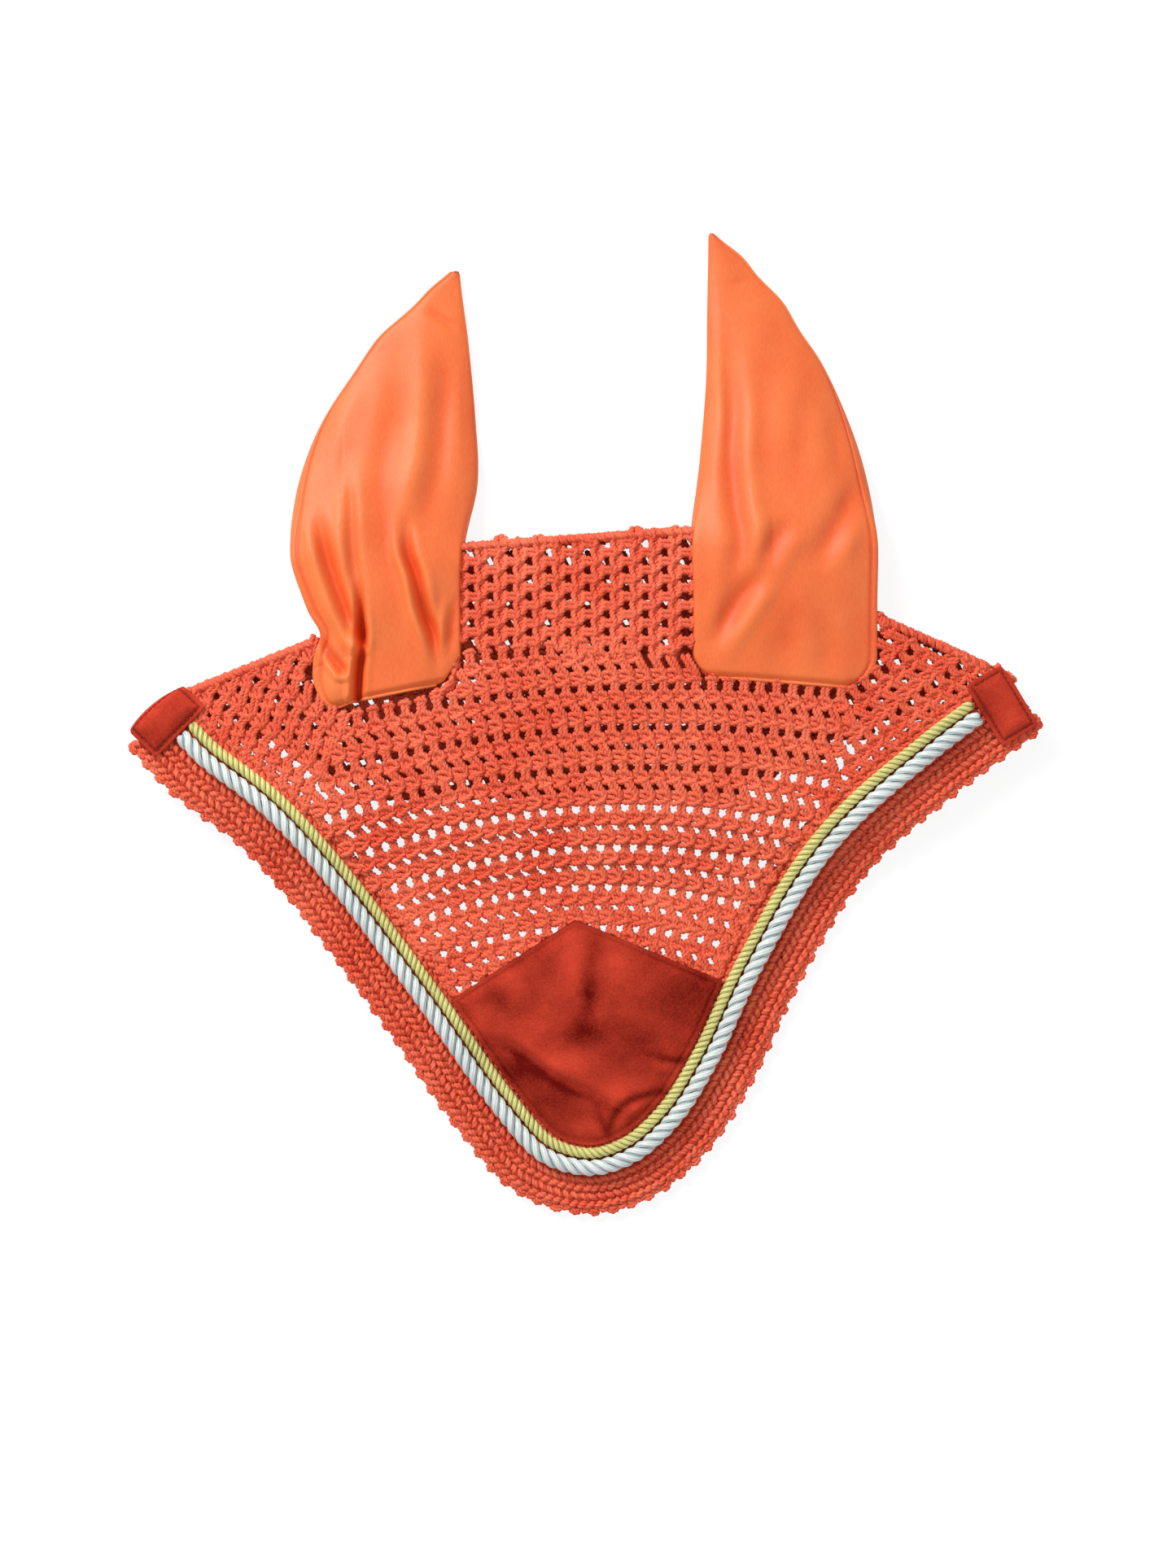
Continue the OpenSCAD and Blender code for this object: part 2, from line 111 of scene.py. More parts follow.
def inward(path: Array) -> Array:
    """Gives the unit normals on the left of a plane path."""
    step = np.gradient(path, axis=0)
    step /= np.linalg.norm(step, axis=1, keepdims=True)
    return np.stack([-step[:, 1], step[:, 0]], axis=1)


def ease(t: Array) -> Array:
    """Smooth step from 0 to 1."""
    u = np.clip(t, 0.0, 1.0)
    return u * u * (3 - 2 * u)


def inside(points: Array, outline: Array) -> Array:
    """Says which plane points lie inside a closed outline."""
    x, y = points[..., 0], points[..., 1]
    hit = np.zeros(x.shape, dtype=bool)
    a = np.asarray(outline, dtype=float)
    for (x1, y1), (x2, y2) in zip(a, np.roll(a, -1, axis=0)):
        if y1 == y2:
            continue
        crosses = (y1 > y) != (y2 > y)
        hit ^= crosses & (x < (x2 - x1) * (y - y1) / (y2 - y1) + x1)
    return hit


def path_distance(points: Array, path: Array) -> tuple[Array, Array, Array]:
    """Measures plane points against a path.

    Args:
        points: N by 2 points.
        path: the path's points.

    Returns:
        The distance, the signed distance (positive on the left) and the share of the path's length.
    """
    run = run_length(path)
    best = np.full(len(points), 1e9)
    signed = np.zeros(len(points))
    share = np.zeros(len(points))
    for i in range(len(path) - 1):
        d = path[i + 1] - path[i]
        rel = points - path[i]
        t = np.clip((rel @ d) / max(d @ d, 1e-9), 0, 1)
        off = rel - t[:, None] * d
        dist = np.linalg.norm(off, axis=1)
        closer = dist < best
        side = np.sign(d[0] * rel[:, 1] - d[1] * rel[:, 0])
        best = np.where(closer, dist, best)
        signed = np.where(closer, dist * side, signed)
        share = np.where(closer, (run[i] + t * (run[i + 1] - run[i])) / run[-1], share)
    return best, signed, share


def make_object(name: str, verts_mm: Array, quads: Array, caps: Array | None = None) -> bpy.types.Object:
    """Makes a smooth mesh object from millimetre points.

    Args:
        name: the piece's name.
        verts_mm: N by 3 points.
        quads: M by 4 corner numbers.
        caps: optional faces with another number of corners, one face a row.

    Returns:
        The new object, linked to the scene.
    """
    mesh = bpy.data.meshes.new(name)
    loops = [quads.ravel()]
    starts = [np.arange(len(quads)) * 4]
    if caps is not None and len(caps):
        starts.append(len(quads) * 4 + np.arange(len(caps)) * caps.shape[1])
        loops.append(caps.ravel())
    corner = np.concatenate(loops).astype(np.int32)
    start = np.concatenate(starts).astype(np.int32)
    mesh.vertices.add(len(verts_mm))
    mesh.loops.add(len(corner))
    mesh.polygons.add(len(start))
    mesh.vertices.foreach_set("co", (verts_mm * MM).astype(np.float32).ravel())
    mesh.loops.foreach_set("vertex_index", corner)
    mesh.polygons.foreach_set("loop_start", start)
    mesh.polygons.foreach_set("use_smooth", np.ones(len(start), dtype=bool))
    mesh.update(calc_edges=True)
    obj = bpy.data.objects.new(name, mesh)
    bpy.context.scene.collection.objects.link(obj)
    return obj


def point_values(obj: bpy.types.Object, name: str, values: Array) -> None:
    """Stores one number per vertex under a name that the materials read."""
    layer = obj.data.attributes.new(name, "FLOAT", "POINT")
    layer.data.foreach_set("value", values.astype(np.float32).ravel())


# ---------------------------------------------------------------- yarn


@dataclass(frozen=True)
class Yarn:
    """A twisted yarn: its size and how finely it is drawn, in millimetres."""

    radius: float = 1.5
    plies: int = 3
    sides: int = 9
    lay: float = 6.4
    groove: float = 0.16


class YarnPile:
    """Collects yarn paths and turns them into one mesh of twisted, plied strands."""

    def __init__(self, name: str, yarn: Yarn, seed: int = SEED) -> None:
        """Starts an empty pile for one piece."""
        self.name = name
        self.yarn = yarn
        self.rng = np.random.default_rng(seed)
        self.batches: list[tuple[Array, float]] = []

    def add(self, paths: Array, scale: float = 1.0) -> None:
        """Adds paths of equal length: an array of strands by points by 3, with a yarn scale."""
        if len(paths):
            self.batches.append((np.asarray(paths, dtype=float), scale))

    def tubes(self, paths: Array, scale: float) -> tuple[Array, Array, Array, Array, Array]:
        """Sweeps the plied section along each path.

        Args:
            paths: strands by points by 3.
            scale: factor on the yarn's radius.

        Returns:
            Points, quads, end caps, painted groove shade values and strand tones.
        """
        y = self.yarn
        count, rings, _ = paths.shape
        tangent = np.gradient(paths, axis=1)
        tangent /= np.linalg.norm(tangent, axis=2, keepdims=True) + 1e-9
        side = np.cross(tangent[:, 0], np.array([0.13, 0.21, 1.0]))
        side /= np.linalg.norm(side, axis=1, keepdims=True) + 1e-9
        sides = np.empty_like(paths)
        for k in range(rings):
            t = tangent[:, k]
            side = side - (side * t).sum(1, keepdims=True) * t
            side /= np.linalg.norm(side, axis=1, keepdims=True) + 1e-9
            sides[:, k] = side
        ups = np.cross(tangent, sides)
        steps = np.linalg.norm(np.diff(paths, axis=1), axis=2)
        run = np.concatenate([np.zeros((count, 1)), np.cumsum(steps, axis=1)], axis=1)
        phase = 2 * math.pi * run / y.lay + self.rng.uniform(0, 2 * math.pi, (count, 1))
        around = 2 * math.pi * np.arange(y.sides) / y.sides
        lobe = np.cos(y.plies * around)
        radius = y.radius * scale * (1 - y.groove + y.groove * lobe)
        angle = phase[:, :, None] + around
        end = np.ones(rings)
        end[0] = end[-1] = 0.55
        reach = radius * end[:, None]
        points = (
            paths[:, :, None]
            + (reach * np.cos(angle))[..., None] * sides[:, :, None]
            + (reach * np.sin(angle))[..., None] * ups[:, :, None]
        )
        n = y.sides
        ring = np.arange(rings - 1)[:, None] * n
        a = ring + np.arange(n)
        b = ring + (np.arange(n) + 1) % n
        quad = np.stack([a, b, b + n, a + n], axis=-1).reshape(-1, 4)
        offset = (np.arange(count) * rings * n)[:, None, None]
        quads = (quad[None] + offset).reshape(-1, 4)
        first = np.arange(n)[::-1]
        final = (rings - 1) * n + np.arange(n)
        caps = (np.stack([first, final])[None] + offset).reshape(-1, n)
        # Painted shade between the plies: 0 in each hollow, 1 on each crown.
        groove = np.broadcast_to((lobe + 1) / 2, (count, rings, n)).ravel()
        tone = np.broadcast_to(self.rng.uniform(0, 1, (count, 1, 1)), (count, rings, n)).ravel()
        return points.reshape(-1, 3), quads, caps, groove, tone

    def build(self) -> bpy.types.Object:
        """Makes the piece from everything added so far."""
        parts = [self.tubes(paths, scale) for paths, scale in self.batches]
        shift = 0
        quads, caps = [], []
        for points, quad, cap, _, _ in parts:
            quads.append(quad + shift)
            caps.append(cap + shift)
            shift += len(points)
        obj = make_object(
            self.name, np.vstack([p[0] for p in parts]), np.vstack(quads), np.vstack(caps)
        )
        point_values(obj, "groove", np.concatenate([p[3] for p in parts]))
        point_values(obj, "tone", np.concatenate([p[4] for p in parts]))
        return obj


# ---------------------------------------------------------------- the bonnet's layout


@dataclass
class Layout:
    """The outlines that the crochet and its trims share, in millimetres, from the frame's boxes."""

    border_shape: tuple[tuple[float, float], ...] = (
        (-0.990, -0.130), (-0.893, -0.218), (-0.752, -0.314), (-0.618, -0.448), (-0.437, -0.657),
        (-0.288, -0.838), (-0.158, -0.958), (0.000, -1.000), (0.150, -0.966), (0.274, -0.874),
        (0.369, -0.745), (0.466, -0.570), (0.615, -0.360), (0.808, -0.210), (0.990, -0.096),
    )
    corner_share: float = 0.990
    ramp_run: float = 66.0
    ramp_gap: float = 3.0
    tab_size: tuple[float, float] = (38.0, 23.0)
    tab_places: tuple[tuple[float, float, float], ...] = ((-0.902, -20.5, 46), (0.890, -14, -59))
    hem_y: float = field(init=False)
    half_w: float = field(init=False)
    depth: float = field(init=False)
    layer: float = field(init=False)
    lift: float = field(init=False)
    ramp_top: float = field(init=False)
    edge: Array = field(init=False)

    def __post_init__(self) -> None:
        """Measures the frame and draws the outer edge."""
        low, high = self.box("scallop_edging")
        self.hem_y = self.box("right_ear_hem")[0][1]
        self.half_w = (high[0] - low[0]) / 2 / self.corner_share
        self.depth = self.hem_y - low[1]
        nape_low, nape_high = self.box("nape_flap")
        self.layer = nape_high[2] - nape_low[2]
        self.lift = self.box("poll_mesh")[0][2]
        self.ramp_top = nape_low[1] - self.ramp_gap
        shares = np.array(self.border_shape)
        points = np.stack([shares[:, 0] * self.half_w, shares[:, 1] * self.depth + self.hem_y], axis=1)
        self.edge = spline(points, 12)

    @staticmethod
    def box(node: str) -> tuple[Array, Array]:
        """Gives a node's lowest and highest corners in millimetres."""
        low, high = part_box(node)
        return np.array(low) / MM, np.array(high) / MM

    def middle(self, y: Array) -> Array:
        """Height of the middle of the upper crochet layer at y."""
        share = ease((self.ramp_top + 4 - y) / self.ramp_run)
        return self.layer / 2 + self.lift * (1 - share)

    def top(self, y: Array) -> Array:
        """Height of the face of the upper crochet layer at y."""
        return self.middle(y) + self.layer / 2

    def inset(self, distance: float) -> Array:
        """The outer edge moved inwards."""
        return self.edge + inward(self.edge) * distance

    def at(self, x_share: float, y: float) -> Array:
        """A plane point: a share of half the width, and a height above the ear hem line."""
        return np.array([x_share * self.half_w, y + self.hem_y])

    def on_tab(self, index: int, local: Array) -> Array:
        """Turns plane points of a tab's own middle and length into plane points of the bonnet."""
        x_share, y, angle = self.tab_places[index]
        a = math.radians(angle)
        along, across = np.array([math.cos(a), math.sin(a)]), np.array([-math.sin(a), math.cos(a)])
        return self.at(x_share, y) + local[..., :1] * along + local[..., 1:] * across

    def clear_of_tabs(self, points: Array, grow: float) -> Array:
        """Says which points lie outside both tabs, grown outwards."""
        x, y = (side / 2 + grow for side in self.tab_size)
        corners = np.array([[-x, -y], [x, -y], [x, y], [-x, y]])
        a, b = (inside(points, self.on_tab(index, corners)) for index in (0, 1))
        return ~(a | b)


class Side(enum.Enum):
    """The two sides of the bonnet as it lies, with the sign of their x."""

    LEFT = -1
    RIGHT = 1


# ---------------------------------------------------------------- finishes


def socket(group: bpy.types.NodeTree, name: str, way: str, kind: str, value: float | None = None) -> None:
    """Adds a named socket to a node group."""
    made = group.interface.new_socket(name=name, in_out=way, socket_type=kind)
    if value is not None:
        made.default_value = value


def fibre_group() -> bpy.types.NodeTree:
    """Builds the group that gives spun fibre its uneven shade and fine relief.

    Returns:
        The group, with Scale, Stretch and Contrast inputs and Shade and Height outputs.
    """
    group = bpy.data.node_groups.get("fibre_grain")
    if group:
        return group
    group = bpy.data.node_groups.new("fibre_grain", "ShaderNodeTree")
    socket(group, "Scale", "INPUT", "NodeSocketFloat", 900.0)
    socket(group, "Stretch", "INPUT", "NodeSocketVector")
    socket(group, "Contrast", "INPUT", "NodeSocketFloat", 0.3)
    socket(group, "Patch Scale", "INPUT", "NodeSocketFloat", 28.0)
    socket(group, "Shade", "OUTPUT", "NodeSocketFloat")
    socket(group, "Height", "OUTPUT", "NodeSocketFloat")
    nodes, links = group.nodes, group.links
    entry = nodes.new("NodeGroupInput")
    leave = nodes.new("NodeGroupOutput")
    place = nodes.new("ShaderNodeTexCoord")
    stretch = nodes.new("ShaderNodeVectorMath")
    stretch.operation = "MULTIPLY"
    fine = nodes.new("ShaderNodeTexNoise")
    fine.inputs["Detail"].default_value = 3.0
    fine.inputs["Roughness"].default_value = 0.6
    broad = nodes.new("ShaderNodeTexNoise")
    broad.inputs["Detail"].default_value = 2.0
    both = nodes.new("ShaderNodeMath")
    both.operation = "ADD"
    centred = nodes.new("ShaderNodeMath")
    centred.operation = "SUBTRACT"
    centred.inputs[1].default_value = 1.0
    spread = nodes.new("ShaderNodeMath")
    spread.operation = "MULTIPLY_ADD"
    spread.inputs[2].default_value = 0.5
    links.new(place.outputs["Object"], stretch.inputs[0])
    links.new(entry.outputs["Stretch"], stretch.inputs[1])
    links.new(stretch.outputs["Vector"], fine.inputs["Vector"])
    links.new(entry.outputs["Scale"], fine.inputs["Scale"])
    links.new(place.outputs["Object"], broad.inputs["Vector"])
    links.new(entry.outputs["Patch Scale"], broad.inputs["Scale"])
    links.new(fine.outputs["Fac"], both.inputs[0])
    links.new(broad.outputs["Fac"], both.inputs[1])
    links.new(both.outputs["Value"], centred.inputs[0])
    links.new(centred.outputs["Value"], spread.inputs[0])
    links.new(entry.outputs["Contrast"], spread.inputs[1])
    links.new(spread.outputs["Value"], leave.inputs["Shade"])
    links.new(fine.outputs["Fac"], leave.inputs["Height"])
    return group


def linear(r: float, g: float, b: float) -> tuple[float, float, float, float]:
    """Turns a colour of 0 to 255 screen values into the linear values that shaders use."""
    out = []
    for value in (r, g, b):
        c = value / 255
        out.append(c / 12.92 if c <= 0.04045 else ((c + 0.055) / 1.055) ** 2.4)
    return (out[0], out[1], out[2], 1.0)


@dataclass(frozen=True)
class Finish:
    """A spun or woven finish: its colours, its fibre grain, how it takes light, and the painted shade and
    light read from its meshes.
    """

    name: str
    slot: str
    dark: tuple[float, float, float]
    light: tuple[float, float, float]
    roughness: float = 0.8
    sheen: float = 0.2
    sheen_roughness: float = 0.5
    specular: float = 0.3
    metallic: float = 0.0
    scale: float = 900.0
    stretch: tuple[float, float, float] = (1.0, 1.0, 1.0)
    contrast: float = 1.0
    patch_scale: float = 28.0
    relief: float = 0.25
    depth: float = 0.0002
    groove_shade_share: float = 0.0
    tone_and_shade_share: float = 0.0

    def attribute(self, tree: bpy.types.NodeTree, name: str) -> bpy.types.NodeSocket:
        """Reads a number that the mesh stores at its points."""
        node = tree.nodes.new("ShaderNodeAttribute")
        node.attribute_name = name
        return node.outputs["Fac"]

    def share(
        self, tree: bpy.types.NodeTree, base: bpy.types.NodeSocket, name: str, amount: float
    ) -> bpy.types.NodeSocket:
        """Adds a mesh number to a shade, centred on nothing.

        Args:
            tree: the material's nodes.
            base: the shade so far.
            name: the mesh number to read.
            amount: how much of it is added.

        Returns:
            The new shade.
        """
        centred = tree.nodes.new("ShaderNodeMath")
        centred.operation = "SUBTRACT"
        centred.inputs[1].default_value = 0.5
        tree.links.new(self.attribute(tree, name), centred.inputs[0])
        added = tree.nodes.new("ShaderNodeMath")
        added.operation = "MULTIPLY_ADD"
        added.inputs[1].default_value = amount
        tree.links.new(centred.outputs["Value"], added.inputs[0])
        tree.links.new(base, added.inputs[2])
        return added.outputs["Value"]

    def material(self) -> bpy.types.Material:
        """Builds the finish as a material, or gives the one already built."""
        made = bpy.data.materials.get(self.name)
        if made:
            return made
        made = bpy.data.materials.new(self.name)
        made.use_nodes = True
        tree = made.node_tree
        tree.nodes.clear()
        output = tree.nodes.new("ShaderNodeOutputMaterial")
        shader = tree.nodes.new("ShaderNodeBsdfPrincipled")
        tree.links.new(shader.outputs["BSDF"], output.inputs["Surface"])
        shader.inputs["Roughness"].default_value = self.roughness
        shader.inputs["Metallic"].default_value = self.metallic
        shader.inputs["Specular IOR Level"].default_value = self.specular
        shader.inputs["Sheen Weight"].default_value = self.sheen
        shader.inputs["Sheen Roughness"].default_value = self.sheen_roughness
        shader.inputs["Sheen Tint"].default_value = linear(*self.light)
        grain = tree.nodes.new("ShaderNodeGroup")
        grain.node_tree = fibre_group()
        grain.inputs["Scale"].default_value = self.scale
        grain.inputs["Stretch"].default_value = self.stretch
        grain.inputs["Contrast"].default_value = self.contrast
        grain.inputs["Patch Scale"].default_value = self.patch_scale
        shade = grain.outputs["Shade"]
        # Painted shade: darker in the hollows between plies and strands, lighter on their crowns.
        if self.groove_shade_share:
            shade = self.share(tree, shade, "groove", self.groove_shade_share)
        # Tone read from the mesh: random strand tone on yarn, painted light and shade on the ear cloth and
        # suede.
        if self.tone_and_shade_share:
            shade = self.share(tree, shade, "tone", self.tone_and_shade_share)
        ramp = tree.nodes.new("ShaderNodeMix")
        ramp.data_type = "RGBA"
        ramp.clamp_factor = True
        ramp.inputs["A"].default_value = linear(*self.dark)
        ramp.inputs["B"].default_value = linear(*self.light)
        tree.links.new(shade, ramp.inputs["Factor"])
        tree.links.new(ramp.outputs["Result"], shader.inputs["Base Color"])
        bump = tree.nodes.new("ShaderNodeBump")
        bump.inputs["Strength"].default_value = self.relief
        bump.inputs["Distance"].default_value = self.depth
        tree.links.new(grain.outputs["Height"], bump.inputs["Height"])
        tree.links.new(bump.outputs["Normal"], shader.inputs["Normal"])
        return made

    def dress(self, obj: bpy.types.Object) -> None:
        """Puts the finish on a piece."""
        obj.data.materials.clear()
        obj.data.materials.append(self.material())


CROCHET = Finish(
    "crochet_yarn", "crochet", dark=(218, 58, 34), light=(255, 136, 102), roughness=0.85, sheen=0.05,
    specular=0.15, scale=1500.0, contrast=0.8, relief=0.35, depth=0.0003, groove_shade_share=0.6,
    tone_and_shade_share=0.2,
)
EAR_CLOTH = Finish(
    "ear_satin", "ear_cloth", dark=(224, 74, 26), light=(242, 130, 68), roughness=0.5, sheen=0.04,
    specular=0.35, scale=1400.0, stretch=(1.0, 0.22, 1.0), contrast=0.6, relief=0.22, depth=0.00025,
    tone_and_shade_share=0.9,
)
SUEDE = Finish(
    "soft_suede", "suede", dark=(102, 14, 8), light=(218, 72, 50), roughness=0.95, sheen=0.08,
    sheen_roughness=0.4, specular=0.05, scale=900.0, contrast=0.7, patch_scale=60.0, relief=0.5,
    depth=0.0004, tone_and_shade_share=1.0,
)
SILVER = Finish(
    "silver_twist_yarn", "silver_cord", dark=(128, 148, 154), light=(240, 246, 242), roughness=0.42,
    sheen=0.05, specular=0.5, scale=900.0, contrast=0.4, relief=0.2, groove_shade_share=0.8, tone_and_shade_share=0.05,
)
GOLD = Finish(
    "gold_twist_yarn", "gold_cord", dark=(92, 88, 30), light=(240, 234, 146), roughness=0.4, sheen=0.05,
    specular=0.5, scale=900.0, contrast=0.5, relief=0.2, groove_shade_share=0.9, tone_and_shade_share=0.05,
)
THREAD = Finish(
    "sewing_thread", "thread", dark=(110, 20, 12), light=(170, 50, 36), roughness=0.6, sheen=0.05,
    scale=2500.0, contrast=0.6, relief=0.2,
)


def seat(piece: bpy.types.Object, finish: Finish, body: str, *nodes: str) -> None:
    """Dresses a piece, lets it ride on its body and names the plain solids that it stands for.

    Args:
        piece: the finished mesh.
        finish: its finish.
        body: the body that carries it.
        nodes: the plain solids that it takes the place of.
    """
    finish.dress(piece)
    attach(piece, body)
    if nodes:
        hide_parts(*nodes)
    LOG.info("%s: %d faces on %s", piece.name, len(piece.data.polygons), body)


# ---------------------------------------------------------------- crochet


@dataclass(frozen=True)
class Strand:
    """One strand of a stitch: across and up as shares of the stitch, height in millimetres."""

    points: tuple[tuple[float, float, float], ...]
    scale: float = 1.0

    def shifted(self, across: float, up: float = 0.0, height: float = 0.0) -> "Strand":
        """Gives the strand moved within its stitch."""
        return Strand(tuple((u + across, v + up, w + height) for u, v, w in self.points), self.scale)


SLANT = Strand(((-0.36, 1.06, -1.2), (-0.25, 0.86, 0.8), (-0.09, 0.62, 1.3), (0.08, 0.38, 1.2),
                (0.25, 0.16, 0.7), (0.38, -0.06, -1.2)), 1.02)
UPRIGHT = Strand(((-0.10, 1.02, -1.0), (-0.12, 0.76, 1.0), (-0.15, 0.50, 1.3), (-0.13, 0.25, 1.1),
                  (-0.10, -0.02, -1.0)), 0.96)
CURL = Strand(((0.22, 1.05, -0.8), (0.10, 0.80, 0.9), (0.02, 0.55, 0.8), (0.12, 0.30, 1.5),
               (0.30, 0.10, 0.7), (0.36, -0.06, -1.0)), 0.92)
BUMP = Strand(((-0.38, 0.80, -0.4), (-0.16, 0.90, 1.4), (0.12, 0.86, 1.6), (0.38, 0.76, -0.2)), 0.95)
LINK = Strand(((-0.46, -0.20, -0.9), (-0.18, -0.27, 0.8), (0.20, -0.21, 1.4), (0.50, -0.02, 1.0),
               (0.26, 0.21, 1.4), (-0.08, 0.26, 1.0), (-0.42, 0.18, -0.7)), 1.05)
NUB = Strand(((-0.34, 0.08, -0.6), (-0.14, 0.02, 1.0), (0.10, -0.06, 1.2), (0.30, -0.12, -0.4)), 0.9)
UNDER = Strand(((-0.56, 0.0, -1.0), (-0.2, 0.03, -0.7), (0.2, -0.03, -0.7), (0.56, 0.0, -1.0)), 1.25)

FRONT_ROW = (SLANT, SLANT.shifted(0.31, 0.0, 0.1), LINK, NUB, UNDER)
BACK_ROW = (UPRIGHT, UPRIGHT.shifted(0.27, 0.02, -0.2), CURL, BUMP, LINK, UNDER)
PLAIN_ROW = (SLANT, SLANT.shifted(0.30), LINK, UNDER)
SINGLE = (
    Strand(((-0.50, 0.20, -1.7), (-0.32, 0.30, 0.6), (0.0, 0.46, 1.7), (0.32, 0.62, 0.8),
            (0.50, 0.72, -1.7)), 1.24),
    Strand(((0.52, 0.06, -1.6), (0.38, 0.28, -0.3), (0.12, 0.52, -0.1), (-0.16, 0.86, -1.5)), 1.0),
    Strand(((-0.56, 0.02, -1.4), (0.0, -0.02, -0.9), (0.56, 0.02, -1.4)), 1.2),
)
SCALLOP = (
    Strand(((-0.56, 0.95, -1.0), (-0.42, 0.30, 0.6), (0.0, 0.02, 0.9), (0.42, 0.30, 0.6),
            (0.56, 0.95, -1.0)), 0.95),
    Strand(((-0.44, 1.10, -0.6), (-0.26, 0.72, 0.9), (0.06, 0.52, 1.2), (0.38, 0.72, 0.7),
            (0.48, 1.10, -0.6)), 0.95),
)


@dataclass
class Cells:
    """Stitches as they lie: each one's corner and its directions across and up, in millimetres."""

    corner: Array
    across: Array
    up: Array

    def centre(self) -> Array:
        """Gives the middle of each stitch."""
        return self.corner + 0.5 * self.up

    def keep(self, chosen: Array) -> "Cells":
        """Gives the chosen stitches."""
        return Cells(self.corner[chosen], self.across[chosen], self.up[chosen])


def cells_along(path: Array, pitch: float, height: Array | float, start: float = 0.0) -> Cells:
    """Lays stitches along a path, standing up on its left side.

    Args:
        path: the row's foot.
        pitch: the width of a stitch.
        height: the height of the row, one number or one for each point of the path.
        start: where along the path the first stitch lies.

    Returns:
        The row's stitches.
    """
    run = run_length(path)
    count = max(1, int((run[-1] - start) / pitch))
    where = start + pitch * (np.arange(count) + 0.5)
    corner = point_at(path, where)
    ahead = point_at(path, where + 0.5) - point_at(path, where - 0.5)
    ahead /= np.linalg.norm(ahead, axis=1, keepdims=True)
    left = np.stack([-ahead[:, 1], ahead[:, 0]], axis=1)
    tall = np.interp(where, run, np.broadcast_to(height, run.shape))
    return Cells(corner, ahead * pitch, left * tall[:, None])


class Crochet:
    """Works stitches into a yarn pile, each with its own small unevenness."""

    def __init__(self, name: str, yarn: Yarn, jitter: float = 0.22, seed: int = SEED) -> None:
        """Starts an empty piece of crochet."""
        self.pile = YarnPile(name, yarn, seed)
        self.jitter = jitter
        self.ring_gap = 0.8 if yarn.sides > 7 else 1.3

    def work(self, cells: Cells, strands: tuple[Strand, ...], height: Array, flip: float = 1.0) -> None:
        """Works the strands of a stitch into each cell.

        Args:
            cells: where the stitches lie.
            strands: the strands of one stitch.
            height: the height of the crochet's middle under each cell.
            flip: 1 to show the stitch's face, -1 to mirror it across.
        """
        if not len(cells.corner):
            return
        rng = self.pile.rng
        for strand in strands:
            points = np.array(strand.points)
            u = (points[:, 0] * flip)[None, :, None]
            v = points[:, 1][None, :, None]
            plane = cells.corner[:, None] + u * cells.across[:, None] + v * cells.up[:, None]
            tall = height[:, None] + points[None, :, 2]
            place = np.concatenate([plane, tall[..., None]], axis=2)
            place += rng.uniform(-self.jitter, self.jitter, place.shape)
            sample = np.linalg.norm(np.diff(place[0], axis=0), axis=1).sum()
            per_span = max(2, round(sample / self.ring_gap / (len(points) - 1)))
            weights = spline_weights(len(points), per_span)
            self.pile.add(np.einsum("rk,nkd->nrd", weights, place), strand.scale)

    def build(self) -> bpy.types.Object:
        """Makes the mesh of the piece."""
        return self.pile.build()


@dataclass
class EarPlan:
    """An ear sleeve's outline as it lies: its hem, its length and how its two edges run from hem to tip."""

    side: Side
    body: str
    root_x: float
    hem: float
    length: float
    inner: tuple[float, ...]
    outer: tuple[float, ...]
    width: float
    corner_r: float = 14.0
    floor: float = 5.4
    droop_start: float = 92.0
    droop_run: float = 60.0

    @staticmethod
    def along(shares: tuple[float, ...], t: Array) -> Array:
        """Reads evenly spaced shares at t with a Catmull-Rom curve."""
        v = np.array(shares)
        n = len(v) - 1
        u = np.clip(t, 0, 1) * n
        i = np.minimum(n - 1, np.floor(u).astype(int))
        f = u - i
        a, b, c, d = v[np.maximum(i - 1, 0)], v[i], v[i + 1], v[np.minimum(i + 2, n)]
        square = 2 * a - 5 * b + 4 * c - d
        cube = 3 * b - a - 3 * c + d
        return 0.5 * (2 * b + (c - a) * f + square * f**2 + cube * f**3)

    def corner_pull(self, y: Array) -> Array:
        """How far the rounded corner at the hem draws an edge in."""
        d = np.clip(self.corner_r - y, 0, self.corner_r)
        return self.corner_r - np.sqrt(self.corner_r**2 - d**2)

    def edge(self, shares: tuple[float, ...], t: Array, pull: float) -> Array:
        """Gives an edge's x at t."""
        s = self.side.value
        drawn_in = pull * self.corner_pull(t * self.length)
        return self.root_x + s * (self.width * self.along(shares, t) + drawn_in)

    def low(self, t: Array) -> Array:
        """The edge with the lower x."""
        return np.minimum(self.edge(self.inner, t, 1.0), self.edge(self.outer, t, -1.0))

    def high(self, t: Array) -> Array:
        """The edge with the higher x."""
        return np.maximum(self.edge(self.inner, t, 1.0), self.edge(self.outer, t, -1.0))

    def base(self, y: Array) -> Array:
        """Height of the back panel's underside, y past the hem."""
        return self.floor - (self.floor - 0.3) * ease((y - self.droop_start) / self.droop_run)

    def crown(self, y: Array) -> Array:
        """Height of the sleeve above its underside, y past the hem."""
        t = y / self.length
        swell = 9.6 + (13.5 - 9.6) * ease(y / 60)
        return swell * (1 - 0.7 * ease((t - 0.45) / 0.55))

    def hole(self, grow: float) -> Array:
        """Outline of the opening in the crochet, grown outwards."""
        t = 0.45 * (np.arange(15) / 14) ** 1.6
        y = self.hem + t * self.length - grow
        left = np.stack([self.low(t) - grow, y], axis=1)
        right = np.stack([self.high(t) + grow, y], axis=1)
        return np.vstack([left, right[::-1]])


